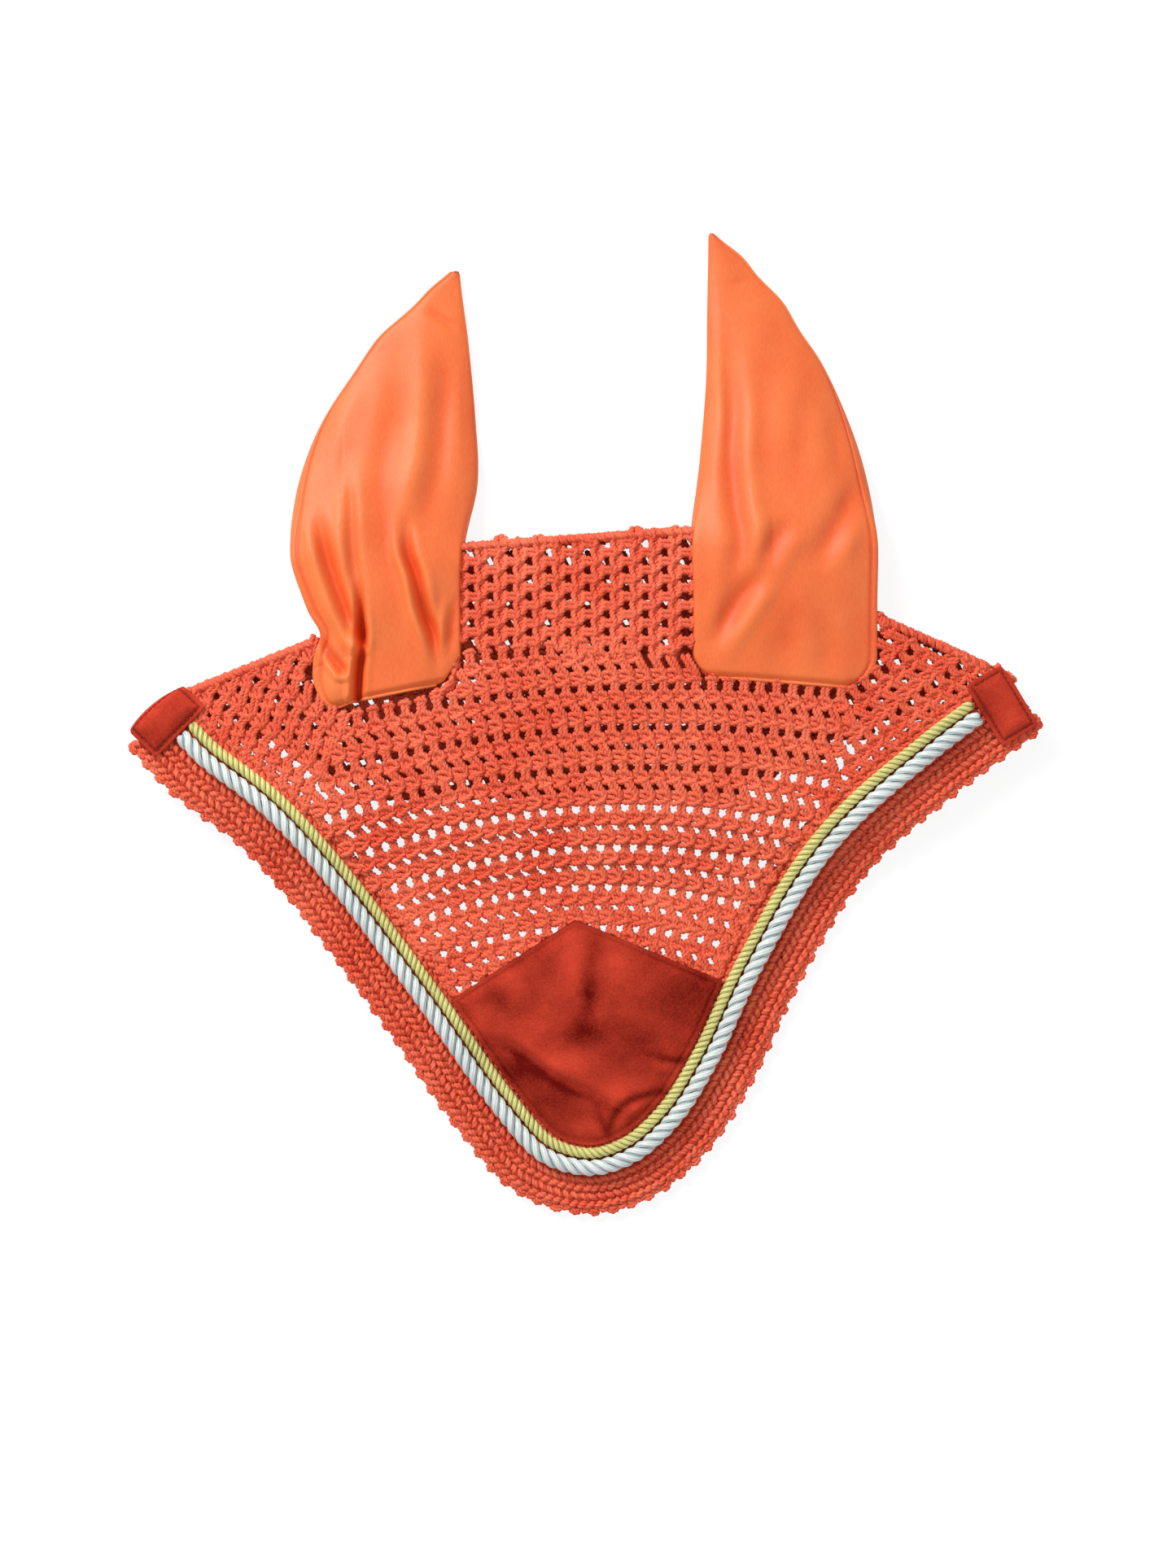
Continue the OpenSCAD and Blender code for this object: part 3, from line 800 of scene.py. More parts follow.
@dataclass
class Face:
    """The crocheted face: forehead, poll, wings, the flap behind and the edges of its holes."""

    layout: Layout
    ears: tuple[EarPlan, EarPlan]
    row_pitch: float = 10.8
    stitch_pitch: float = 8.6
    first_row: float = 26.5
    poll_pitch: tuple[float, float] = (9.46, 10.35)
    band_inset: float = 39.5
    yarn: Yarn = field(default_factory=lambda: Yarn(radius=1.66))
    low_yarn: Yarn = field(default_factory=lambda: Yarn(radius=1.86))
    back_yarn: Yarn = field(default_factory=lambda: Yarn(radius=1.75, sides=7, groove=0.12))
    poll_x: tuple[float, float] = (-0.275, 0.232)
    fold_loop: tuple[float, float] = (5.2, 4.0)
    fold_inset: float = 2.2
    fold_layers: tuple[tuple[float, float], ...] = (
        (13.2, 0.4), (10.4, -0.6), (7.4, -0.6), (4.6, -0.6), (1.9, 0.4),
    )
    nape_edge_lines: tuple[tuple[float, float], ...] = ((0.0, 0.0), (3.6, 2.6))
    nape_edge_z: float = 2.4

    def __post_init__(self) -> None:
        """Draws the outlines of the face's areas."""
        at = self.layout.at
        self.left_top = at(-0.908, -12)
        self.left_ear_top = at(-0.585, 20.5)
        self.right_ear_top = at(0.633, 32.5)
        self.right_top = at(0.922, 0)
        self.left_crease = at(-0.520, -19.5)
        self.left_foot = at(-0.627, -77)
        self.right_crease = at(0.582, 0.5)
        self.right_foot = at(0.518, -65)
        self.poll_low = (at(self.poll_x[0], 18), at(self.poll_x[1], 18))
        self.poll_high = (at(self.poll_x[0], 71), at(self.poll_x[1], 80))
        self.inner = self.layout.inset(self.band_inset)
        self.foot_a = int(np.argmin(np.linalg.norm(self.inner - self.left_foot, axis=1)))
        self.foot_b = int(np.argmin(np.linalg.norm(self.inner - self.right_foot, axis=1)))

    def clear_of_ears(self, points: Array, grow: float) -> Array:
        """Says which points lie outside both ear openings, grown outwards."""
        a, b = (inside(points, ear.hole(grow)) for ear in self.ears)
        return ~(a | b)

    def row_line(self, y0: float) -> Array:
        """A forehead row's line, arched more and more towards the nose, from left to right."""
        t = np.clip((28 - y0) / 130, 0, 1)
        arch = 0.0006 + 0.0015 * t**1.5
        middle = 50 - 45 * t
        x = np.linspace(-200, 200, 161)
        return np.stack([x, y0 - arch * (x - middle) ** 2], axis=1)

    def forehead_outline(self) -> Array:
        """Outline of the forehead."""
        lower = self.inner[self.foot_a : self.foot_b + 1]
        upper = np.array([self.right_crease, self.poll_low[1], self.poll_low[0], self.left_crease])
        return np.vstack([lower, upper])

    def forehead(self) -> None:
        """Works the forehead's rows, front rows and back rows in turn, in six pieces."""
        outline = self.forehead_outline()
        yarns = (self.yarn,) * 3 + (self.low_yarn,) * 3
        groups = [Crochet(f"forehead_rows_{k + 1}", yarn, 0.3, SEED + k) for k, yarn in enumerate(yarns)]
        for k in range(-2, 25):
            foot = self.row_line(self.first_row - self.row_pitch * (k + 1))
            top = self.row_line(self.first_row - self.row_pitch * k)
            slope = np.gradient(foot[:, 1], foot[:, 0])
            tall = (top[:, 1] - foot[:, 1]) / np.sqrt(1 + slope**2)
            cells = cells_along(foot, self.stitch_pitch, tall, start=(k % 2) * self.stitch_pitch / 2)
            centre = cells.centre()
            cells = cells.keep(inside(centre, outline) & self.clear_of_ears(centre, 0.6))
            group = groups[min(5, (k + 2) // 4)]
            rows = FRONT_ROW if k % 2 else BACK_ROW
            group.work(cells, rows, self.layout.middle(cells.centre()[:, 1]))
        for index, group in enumerate(groups):
            seat(group.build(), CROCHET, "bonnet", *(["forehead_mesh"] if index == 0 else []))

    def poll(self) -> None:
        """Works the strip between the ears, whose rows stand upright."""
        work = Crochet("poll_rows", self.yarn, seed=SEED + 10)
        stitch, row = self.poll_pitch
        left, right = self.poll_low[0][0], self.poll_low[1][0]
        foot_end = self.poll_low[1] - [0, 5]
        outline = np.array([self.poll_low[0], foot_end, self.poll_high[1], self.poll_high[0]])
        for k in range(int((right - left) / row) + 1):
            x = left + row * (k + 0.2)
            foot = np.array([[x, 130.0], [x, 30.0]])
            cells = cells_along(foot, stitch, row, start=(k % 2) * stitch / 2)
            centre = cells.centre()
            cells = cells.keep(inside(centre, outline) & self.clear_of_ears(centre, 0.6))
            work.work(cells, BACK_ROW, self.layout.middle(cells.centre()[:, 1]))
        seat(work.build(), CROCHET, "bonnet", "poll_mesh")

    def wing(self, side: Side) -> None:
        """Works one wing, whose rows follow the border."""
        left = side is Side.LEFT
        work = Crochet(f"{side.name.lower()}_wing_rows", self.yarn, seed=SEED + 20 + side.value)
        if left:
            lower = self.inner[: self.foot_a + 1]
            upper = np.array([self.left_crease, self.left_ear_top, self.left_top])
        else:
            lower = self.inner[self.foot_b :]
            upper = np.array([self.right_top, self.right_ear_top, self.right_crease])
        outline = np.vstack([lower, upper])
        for k in range(9):
            row = self.layout.inset(self.band_inset + self.row_pitch * k)
            cells = cells_along(row, self.stitch_pitch * 0.94, self.row_pitch, start=(k % 2) * 4)
            centre = cells.centre()
            cells = cells.keep(inside(centre, outline) & self.clear_of_ears(centre, 0.6))
            strands = FRONT_ROW if k % 2 == 0 else BACK_ROW
            work.work(cells, strands, self.layout.middle(cells.centre()[:, 1]))
        seat(work.build(), CROCHET, "bonnet", f"{side.name.lower()}_wing_mesh")

    def nape(self) -> None:
        """Works the flap that lies behind, in two pieces."""
        at = self.layout.at
        drop = 58
        lower = [at(-0.885, -17), at(-0.69, -0.5 * drop), at(-0.51, -0.95 * drop), at(-0.28, -drop),
                 at(0.28, -drop), at(0.42, -0.75 * drop), at(0.59, -0.48 * drop), at(0.72, -12),
                 at(0.895, -5)]
        upper = [self.right_top, self.right_ear_top, self.poll_high[1], self.poll_high[0],
                 self.left_ear_top, self.left_top]
        outline = np.array(lower + upper)
        halves = [Crochet(f"nape_rows_{name}", self.back_yarn, seed=SEED + 30) for name in ("low", "high")]
        for k in range(15):
            y = -36 + self.row_pitch * k
            foot = np.array([[-240.0, y], [240.0, y]])
            cells = cells_along(foot, self.stitch_pitch, self.row_pitch, start=(k % 2) * 4.3 + 2)
            crown = cells.corner + 0.85 * cells.up
            cells = cells.keep(inside(cells.centre(), outline) & inside(crown, outline))
            flat = np.full(len(cells.corner), self.layout.layer / 2)
            halves[min(1, k // 6)].work(cells, PLAIN_ROW, flat)
        for index, half in enumerate(halves):
            seat(half.build(), CROCHET, "bonnet", *(["nape_flap"] if index == 0 else []))

    def hole_edges(self) -> None:
        """Works the close stitches round each ear opening."""
        for ear, name in zip(self.ears, ("left", "right")):
            outline = ear.hole(-0.8)
            path = spline(np.vstack([outline[::-1]]), 4)
            work = Crochet(f"{name}_ear_hole_stitches", self.yarn, seed=SEED + 40)
            cells = cells_along(path, 4.6, 3.6)
            centre = cells.centre()
            cells = cells.keep(centre[:, 1] < self.fold_line(centre[:, 0]) - 2)
            work.work(cells, SINGLE, self.layout.middle(cells.centre()[:, 1]) - 1.2)
            seat(work.build(), CROCHET, "bonnet", f"{name}_ear_hole_edge")

    def fold_line(self, x: Array) -> Array:
        """Height of the upper fold at x."""
        folds = [self.left_top, self.left_ear_top, self.poll_high[0], self.poll_high[1],
                 self.right_ear_top, self.right_top]
        return np.interp(x, [p[0] for p in folds], [p[1] for p in folds])

    def fold_edges(self) -> None:
        """Works the lumpy loops where the crochet turns over at the top."""
        folds = {
            "left_fold_edge": (self.left_top, self.left_ear_top),
            "poll_fold_edge": self.poll_high,
            "right_fold_edge": (self.right_ear_top, self.right_top),
        }
        for name, (a, b) in folds.items():
            work = Crochet(f"{name}_loops", self.yarn, seed=SEED + 50)
            path = np.linspace(b, a, 12)
            down = np.array([(b - a)[1], -(b - a)[0]]) / np.linalg.norm(b - a)
            for height, out in self.fold_layers:
                line = path + down * (self.fold_inset + out)
                cells = cells_along(line, *self.fold_loop, start=height % (self.fold_loop[0] / 2))
                cells = Cells(cells.corner, cells.across, -cells.up)
                centre = cells.centre()
                cells = cells.keep(self.clear_of_ears(centre, 1.5) & self.layout.clear_of_tabs(centre, 1.0))
                work.work(cells, SINGLE[:1], np.full(len(cells.corner), height - 0.6))
            seat(work.build(), CROCHET, "bonnet", name)
        under = Crochet("nape_edge_loops", self.yarn, seed=SEED + 55)
        for a, b in ((self.left_ear_top, self.poll_high[0]), (self.poll_high[1], self.right_ear_top)):
            for drop, start in self.nape_edge_lines:
                cells = cells_along(np.linspace(a, b, 12) - [0, drop], *self.fold_loop, start=start)
                cells = Cells(cells.corner, cells.across, -cells.up)
                under.work(cells, SINGLE[:1], np.full(len(cells.corner), self.nape_edge_z))
        seat(under.build(), CROCHET, "bonnet")


@dataclass
class Border:
    """The close border of the face, its scalloped rim and the two cords sewn along it."""

    layout: Layout
    edging_w: float = 5.0
    stitch: float = 4.75
    row: float = 4.5
    rows: int = 9
    scallop: float = 5.3
    yarn: Yarn = field(default_factory=lambda: Yarn(radius=1.5))

    def band(self) -> None:
        """Works the close rows of the band, in three pieces."""
        outer = Crochet("border_rows_outer", self.yarn, jitter=0.3, seed=SEED + 60)
        middle = Crochet("border_rows_middle", self.yarn, jitter=0.3, seed=SEED + 62)
        inner = Crochet("border_rows_inner", Yarn(radius=1.5, sides=7), jitter=0.3, seed=SEED + 61)
        for k in range(self.rows):
            path = self.layout.inset(self.edging_w - 0.4 + self.row * k)
            cells = cells_along(path, self.stitch, self.row * 1.08, start=(k % 2) * self.stitch / 2)
            work = (outer, middle, inner)[min(2, k // 2)]
            work.work(cells, SINGLE, self.layout.middle(cells.centre()[:, 1]), 1 - 2 * (k % 2))
        seat(outer.build(), CROCHET, "bonnet", "border_band")
        for work in (middle, inner):
            seat(work.build(), CROCHET, "bonnet")

    def rim(self) -> None:
        """Works the small arches along the outer edge."""
        work = Crochet("scallop_loops", self.yarn, jitter=0.3, seed=SEED + 70)
        path = self.layout.inset(1.7)
        cells = cells_along(path, self.scallop, self.edging_w - 1.2)
        dip = np.where(np.arange(len(cells.corner)) % 2 == 0, 0.0, 1.6)
        outwards = cells.up / np.linalg.norm(cells.up, axis=1, keepdims=True)
        cells = Cells(cells.corner + outwards * dip[:, None], cells.across, cells.up)
        work.work(cells, SCALLOP, self.layout.middle(cells.centre()[:, 1]) - 0.3)
        seat(work.build(), CROCHET, "bonnet", "scallop_edging")

    def cord(self, name: str, inset: float, d: float, lay: float, finish: Finish, node: str) -> None:
        """Lays one twisted cord along the border.

        Args:
            name: the piece's name.
            inset: its distance from the outer edge.
            d: its diameter.
            lay: the length of one turn of its strands.
            finish: its finish.
            node: the plain cord that it takes the place of.
        """
        plane = self.layout.inset(inset)
        height = self.layout.top(plane[:, 1]) + d / 2 + 0.4
        route = np.column_stack([plane, height])
        run = run_length(route)
        where = np.linspace(0, run[-1], int(run[-1] / 0.9))
        covered = ~self.layout.clear_of_tabs(point_at(plane, where), 0.7)
        half = len(where) // 2
        first = np.flatnonzero(covered[:half])[-1] + 1
        where = where[first : half + np.flatnonzero(covered[half:])[0]]
        centre = point_at(route, where)
        strand_r = d * 0.232
        helix_r = d * 0.268
        ahead = np.gradient(centre, axis=0)
        ahead /= np.linalg.norm(ahead, axis=1, keepdims=True)
        side = np.cross(ahead, [0, 0, 1.0])
        side /= np.linalg.norm(side, axis=1, keepdims=True)
        up = np.cross(side, ahead)
        turn = -2 * math.pi * where / lay
        close = 1 - 0.3 * np.clip(1 - np.minimum(where - where[0], where[-1] - where) / 4, 0, 1) ** 2
        paths = []
        for k in range(3):
            angle = turn + 2 * math.pi * k / 3
            reach = (helix_r * close)[:, None]
            paths.append(centre + reach * (np.cos(angle)[:, None] * side + np.sin(angle)[:, None] * up))
        filaments = Yarn(radius=strand_r, plies=7, sides=28, lay=lay * 2.4, groove=0.09)
        pile = YarnPile(name, filaments, seed=SEED + 80)
        pile.add(np.array(paths))
        piece = pile.build()
        self.shade_depth(piece, centre, filaments, d)
        seat(piece, finish, "bonnet", node)

    def shade_depth(self, piece: bpy.types.Object, centre: Array, yarn: Yarn, d: float) -> None:
        """Paints shade into the finish towards the middle of a cord, where its strands meet.

        Args:
            piece: the cord's mesh.
            centre: its middle line.
            yarn: its strands.
            d: its diameter.
        """
        count = len(piece.data.vertices)
        points = np.zeros(count * 3)
        piece.data.vertices.foreach_get("co", points)
        points = points.reshape(3, len(centre), yarn.sides, 3) / MM
        reach = np.linalg.norm(points - centre[None, :, None], axis=3)
        # Painted shade: points near the cord's middle get 0, the darkest, and its outer crowns 1.
        deep = np.clip((reach / d - 0.30) / 0.18, 0, 1)
        groove = np.zeros(count)
        piece.data.attributes["groove"].data.foreach_get("value", groove)
        piece.data.attributes["groove"].data.foreach_set("value", 0.3 * groove + 0.7 * deep.ravel())

    def build(self) -> None:
        """Makes the border's pieces."""
        self.band()
        self.rim()
        self.cord("silver_twist", 28.0, 8.9, 20.0, SILVER, "silver_cord")
        self.cord("gold_twist", 35.7, 6.1, 10.7, GOLD, "gold_cord")


# ---------------------------------------------------------------- cloth and suede


def shell(name: str, grid: Array, thickness: float, tone: Array | float = 0.5) -> bpy.types.Object:
    """Makes a closed sheet of even thickness under a grid of points.

    Args:
        name: the piece's name.
        grid: rows by columns by 3 points of the upper face.
        thickness: the sheet's thickness, laid downwards.
        tone: how light the sheet is, from 0 to 1, one number or one for each point.

    Returns:
        The sheet as a mesh object.
    """
    rows, cols, _ = grid.shape
    along = np.gradient(grid, axis=0)
    across = np.gradient(grid, axis=1)
    normal = np.cross(across, along)
    normal /= np.linalg.norm(normal, axis=2, keepdims=True) + 1e-9
    normal *= np.sign(normal[..., 2:3].mean())
    under = grid - normal * thickness
    number = np.arange(rows * cols).reshape(rows, cols)
    top = np.stack([number[:-1, :-1], number[:-1, 1:], number[1:, 1:], number[1:, :-1]], axis=-1)
    top = top.reshape(-1, 4)
    if grid[..., 2].size and np.cross(across[0, 0], along[0, 0])[2] < 0:
        top = top[:, ::-1]
    bottom = top[:, ::-1] + rows * cols
    rim = np.concatenate([number[0, :-1], number[:-1, -1], number[-1, :0:-1], number[:0:-1, 0]])
    following = np.roll(rim, -1)
    walls = np.stack([rim, rim + rows * cols, following + rows * cols, following], axis=-1)
    points = np.concatenate([grid.reshape(-1, 3), under.reshape(-1, 3)])
    piece = make_object(name, points, np.concatenate([top, bottom, walls]))
    piece.data.validate()
    point_values(piece, "tone", np.tile(np.broadcast_to(tone, (rows, cols)).ravel(), 2))
    return piece


def surface_area(grid: Array) -> float:
    """Measures a grid's area in square metres."""
    a = grid[:-1, 1:] - grid[:-1, :-1]
    b = grid[1:, :-1] - grid[:-1, :-1]
    c = grid[1:, 1:] - grid[1:, :-1]
    d = grid[1:, 1:] - grid[:-1, 1:]
    first = np.linalg.norm(np.cross(a, b), axis=2).sum() / 2
    second = np.linalg.norm(np.cross(c, d), axis=2).sum() / 2
    return float(first + second) * MM * MM


def stitch_line(pile: YarnPile, path: Array, pitch: float, length: float, dip: float = 0.35) -> None:
    """Sews a line of short stitches along a path.

    Args:
        pile: the thread that sews.
        path: the line on the cloth's face.
        pitch: the distance from one stitch to the next.
        length: the length of a stitch.
        dip: how far its ends sink into the cloth.
    """
    total = run_length(path)[-1]
    where = np.arange(pitch / 2, total - pitch / 2, pitch)
    t = np.linspace(-0.5, 0.5, 7)
    points = point_at(path, where[:, None] + t[None] * length)
    points[..., 2] += 0.22 - dip * (2 * np.abs(t)) ** 3
    pile.add(points)


@dataclass
class Trims:
    """The suede pieces sewn on the crochet: the forehead patch and the two tabs over the cords' ends."""

    layout: Layout
    face: Face
    thick: float = 1.4
    seat_gap: float = 0.3
    inset: float = 2.6
    turn: tuple[float, float] = (3.2, 6.4)

    def patch_creases(self) -> tuple[tuple[Array, float, float], ...]:
        """Gives the patch's folds: where each runs, its depth and its half width."""
        at = self.layout.at
        return (
            (np.array([at(-0.227, -193), at(-0.164, -196), at(-0.105, -207), at(-0.054, -215.5),
                       at(0.014, -223), at(0.05, -228)]), 2.6, 6.0),
            (np.array([at(0.185, -223), at(0.142, -224), at(0.091, -228), at(0.065, -236),
                       at(0.052, -246)]), 2.2, 5.0),
            (np.array([at(0.235, -206.5), at(0.184, -206), at(0.140, -203)]), 1.8, 4.0),
            (np.array([at(0.044, -247), at(0.031, -240), at(0.020, -231)]), 1.6, 3.5),
            (np.array([at(0.004, -158), at(0.012, -172), at(-0.004, -186)]), 0.8, 7.0),
        )

    def patch_nap_and_shade(self, points: Array) -> Array:
        """Gives the patch's tones: partly its nap's own tone, partly painted light and shade of its soft
        swells and creases.
        """
        out = np.full(len(points), 0.46)
        nap_and_shade_patches = (
            (-0.032, -152, 9, 15, 0.30), (0.008, -163, 5, 17, -0.26), (0.065, -156, 9, 12, 0.16),
            (0.235, -168, 17, 14, -0.22), (-0.156, -162, 6, 9, 0.24), (-0.190, -172, 7, 8, -0.16),
            (-0.020, -190, 14, 8, -0.22), (0.107, -194, 18, 10, -0.20), (-0.110, -184, 14, 10, 0.16),
            (-0.050, -205, 13, 7, 0.26), (-0.147, -209, 12, 7, -0.26), (-0.020, -240, 10, 9, 0.10),
            (0.065, -221, 10, 6, 0.26), (-0.085, -226, 14, 8, -0.14), (0.165, -232, 9, 6, -0.12),
            (0.190, -214, 9, 4, 0.14), (-0.235, -186, 8, 9, 0.16),
        )
        for x_share, y, wide, tall, amount in nap_and_shade_patches:
            off = (points - self.layout.at(x_share, y)) / [wide, tall]
            out += 1.5 * amount * np.exp(-(off**2).sum(axis=1))
        # Painted shadow on one side of each crease and a painted highlight on the other.
        for path, depth, width in self.patch_creases():
            dist, signed, along = path_distance(points, spline(path, 6))
            fade = np.sin(np.pi * np.clip(along, 0.04, 0.96)) ** 0.5 * np.exp(-((dist / (3 * width)) ** 2))
            out -= 0.16 * depth * fade * np.exp(-(((signed + 0.4 * width) / (0.5 * width)) ** 2))
            out += 0.07 * depth * fade * np.exp(-(((signed - 0.8 * width) / (0.7 * width)) ** 2))
        return np.clip(out, 0.02, 0.98)

    def patch(self, thread: YarnPile) -> None:
        """Lays the forehead patch, softly creased, and sews its edge."""
        at = self.layout.at
        limit = self.layout.inset(39.7)
        left = int(np.argmin(np.linalg.norm(limit - at(-0.296, -174), axis=1)))
        right = int(np.argmin(np.linalg.norm(limit - at(0.303, -163), axis=1)))
        lower = limit[left : right + 1]
        apex = at(-0.025, -129)
        cols, rows = 150, 110
        share = np.linspace(0, 1, cols)
        low = point_at(lower, share * run_length(lower)[-1])
        upper_path = np.vstack([lower[0], apex, lower[-1]])
        rise = run_length(upper_path)
        bend = np.linalg.norm(apex - lower[0]) / rise[-1]
        reach = np.interp(share, [0, 0.46, 1], [0, bend, 1])
        high = point_at(upper_path, reach * rise[-1])
        v = np.linspace(0, 1, rows)[:, None, None]
        plane = low[None] * (1 - v) + high[None] * v
        points = plane.reshape(-1, 2)
        height = np.full(len(points), self.layout.layer + self.seat_gap + self.thick)
        outline = np.vstack([lower, apex[None]])
        ring = np.vstack([outline, outline[:1]])
        edge, _, _ = path_distance(points, ring)
        soft = ease(edge / 9)
        for path, depth, width in self.patch_creases():
            dist, signed, along = path_distance(points, spline(path, 6))
            fade = np.sin(np.pi * np.clip(along, 0.06, 0.94)) ** 0.6
            height += soft * fade * depth * (0.9 * np.exp(-(((signed - width) / width) ** 2))
                                             + 0.7 * np.exp(-(((signed + width) / width) ** 2))
                                             - 0.8 * np.exp(-((dist / (0.5 * width)) ** 2)))
        x, y = points.T
        height += soft * (1.6 + 1.3 * np.sin(x / 11 + 0.6) * np.cos(y / 13) + 0.6 * np.sin((x + y) / 7.5))
        height += 0.10 * np.sin(x * 1.9) * np.sin(y * 1.7)
        height -= 0.35 * np.exp(-(((edge - self.inset) / 0.8) ** 2))
        grid = np.concatenate([plane, height.reshape(rows, cols, 1)], axis=2)
        # The patch's nap tone with its painted light and shade, and darker along the sewn line.
        tone = self.patch_nap_and_shade(points) - 0.16 * np.exp(-(((edge - self.inset) / 0.7) ** 2))
        piece = shell("forehead_patch_suede", grid, self.thick, tone.reshape(rows, cols))
        seat(piece, SUEDE, "bonnet", "forehead_patch")
        width = float(np.ptp(points[:, 0])) * MM
        length = float(np.ptp(points[:, 1])) * MM
        flat_top = self.layout.layer + self.seat_gap + self.thick - 0.55
        inner = self.ring_inside(lower, apex)
        stitch_line(thread, np.column_stack([inner, np.full(len(inner), flat_top)]), 3.4, 2.5)

    def ring_inside(self, lower: Array, apex: Array) -> Array:
        """Gives the patch's sewing line, set in from its edge."""
        low = lower + inward(lower) * self.inset
        keep = low[6:-6]
        middle = keep.mean(axis=0)
        tip = apex + (middle - apex) / np.linalg.norm(middle - apex) * self.inset * 1.8
        return np.vstack([keep, tip[None], keep[:1]])

    def wrap(self, points: Array, fold: Array) -> tuple[Array, Array]:
        """Turns the part of a sheet that lies past a fold down round it.

        Args:
            points: N by 2 plane points of the flat sheet.
            fold: the fold's line, with the crochet on its right.

        Returns:
            The plane points and how far each one sinks.
        """
        fine = point_at(fold, np.arange(0, run_length(fold)[-1], 0.25))
        gap = points[:, None] - fine[None]
        foot = fine[np.argmin((gap**2).sum(axis=2), axis=1)]
        off = points - foot
        _, signed, _ = path_distance(points, fold)
        out = off / np.maximum(np.linalg.norm(off, axis=1, keepdims=True), 1e-6)
        reach, drop = self.turn
        turn = np.clip(signed * 2 / (reach + drop), 0, math.pi)
        turned = foot + out * (reach * np.sin(turn))[:, None]
        return np.where((signed > 0)[:, None], turned, points), drop * (1 - np.cos(turn))

    def tab_piece(self, side: Side, index: int, fold: Array, thread: YarnPile) -> None:
        """Lays one tab over the ends of the cords, turned down over the crochet's edge, and sews it.

        Args:
            side: the side it is on.
            index: its number in the layout.
            fold: the edge that it turns over.
            thread: the sewing thread.
        """
        length, width = self.layout.tab_size
        cols, rows = 84, 56
        u = np.linspace(-1, 1, cols)[None, :] * np.ones((rows, 1))
        v = np.linspace(-1, 1, rows)[:, None] * np.ones((1, cols))
        x = u * length / 2 * (1 - 0.035 * np.abs(v) ** 6)
        y = v * width / 2 * (1 - 0.055 * np.abs(u) ** 6)
        flat = self.layout.on_tab(index, np.stack([x, y], axis=2)).reshape(-1, 2)
        plane, sink = self.wrap(flat, fold)
        edge = np.minimum(length / 2 - np.abs(x), width / 2 - np.abs(y))
        base = self.layout.lift + self.layout.layer + self.seat_gap + self.thick
        height = base + 2.2 * ease(edge / 8) + 0.3 * np.sin(x / 5) * np.cos(y / 4)
        height -= 0.6 * np.exp(-(((edge - self.inset) / 0.8) ** 2)) + sink.reshape(rows, cols)
        grid = np.concatenate([plane.reshape(rows, cols, 2), height[..., None]], axis=2)
        name = side.name.lower()
        # Painted light: the tabs are painted lighter than the patch because they catch more light; darker
        # along the sewn line.
        tone = 0.62 + 0.08 * np.sin(x / 7 + y / 9) - 0.22 * np.exp(-(((edge - self.inset) / 0.8) ** 2))
        piece = shell(f"{name}_tab_suede", grid, self.thick, tone)
        seat(piece, SUEDE, "bonnet", f"{name}_tab")
        hx, hy = length / 2 - self.inset, width / 2 - self.inset
        corners = np.array([[-hx, -hy], [hx, -hy], [hx, hy], [-hx, hy], [-hx, -hy]])
        line = self.layout.on_tab(index, point_at(corners, np.arange(0, run_length(corners)[-1], 1.0)))
        line, sink = self.wrap(line, fold)
        stitch_line(thread, np.column_stack([line, base + 0.15 - sink]), 3.2, 2.4)

    def build(self) -> None:
        """Makes the suede pieces and their stitching."""
        cotton = Yarn(radius=0.3, plies=2, sides=6, lay=1.4, groove=0.12)
        patch_thread = YarnPile("patch_thread", cotton, seed=SEED + 90)
        tab_thread = YarnPile("tab_thread", cotton, seed=SEED + 91)
        self.patch(patch_thread)
        edge, face = self.layout.edge, self.face
        left = spline(np.array([edge[0], face.left_top, face.left_ear_top]), 10)
        right = spline(np.array([face.right_ear_top, face.right_top, edge[-1]]), 10)
        self.tab_piece(Side.LEFT, 0, left, tab_thread)
        self.tab_piece(Side.RIGHT, 1, right, tab_thread)
        seat(patch_thread.build(), THREAD, "bonnet", "patch_stitching")
        seat(tab_thread.build(), THREAD, "bonnet", "tab_stitching")


@dataclass(frozen=True)
class Crease:
    """A fold in an ear's cloth: its line in millimetres from the ear's root and hem, and its shape."""

    line: tuple[tuple[float, float], ...]
    depth: float
    width: float
    ridge: float = 0.0
    open_end: bool = False

    def taper(self, along: Array) -> Array:
        """How strong the fold is along its line: it starts and, unless its end is open, stops softly."""
        start = ease(along / 0.4)
        return start if self.open_end else start * ease((1 - along) / 0.4)


LEFT_CREASES = (
    Crease(((76, 104), (72, 84), (67, 66), (60, 47), (53, 34)), 4.4, 3.6, 1.8, True),
    Crease(((58, 124), (57, 100), (56, 80), (54, 62), (52, 44)), 2.2, 2.8, 0.9),
    Crease(((53, 66), (52, 50), (51, 30), (53, 14), (54, -4)), 9.0, 2.2, 1.8, True),
    Crease(((28, 102), (27, 80), (22, 64), (18, 46), (13, 32), (9, 10)), 6.0, 2.9, 2.2),
    Crease(((7, 200), (9, 147), (12, 120), (18, 98), (27, 78)), 1.7, 5.4, 1.2),
    Crease(((32, 190), (38, 147), (41, 115), (38, 80), (32, 57), (27, 30)), 1.5, 6.5, 0.9),
    Crease(((46, 180), (52, 144), (57, 110)), 1.0, 6.0, 0.5),
    Crease(((0, 58), (3, 40), (5, 18)), 3.4, 2.4, 1.2),
    Crease(((79, 40), (74, 34), (69, 24), (62, 15)), 3.0, 2.2, 1.2, True),
    Crease(((82, 14), (74, 17), (68, 20)), 1.0, 0.8),
    Crease(((20, 212), (9, 204), (-2, 196)), 1.2, 2.4, 0.4),
)
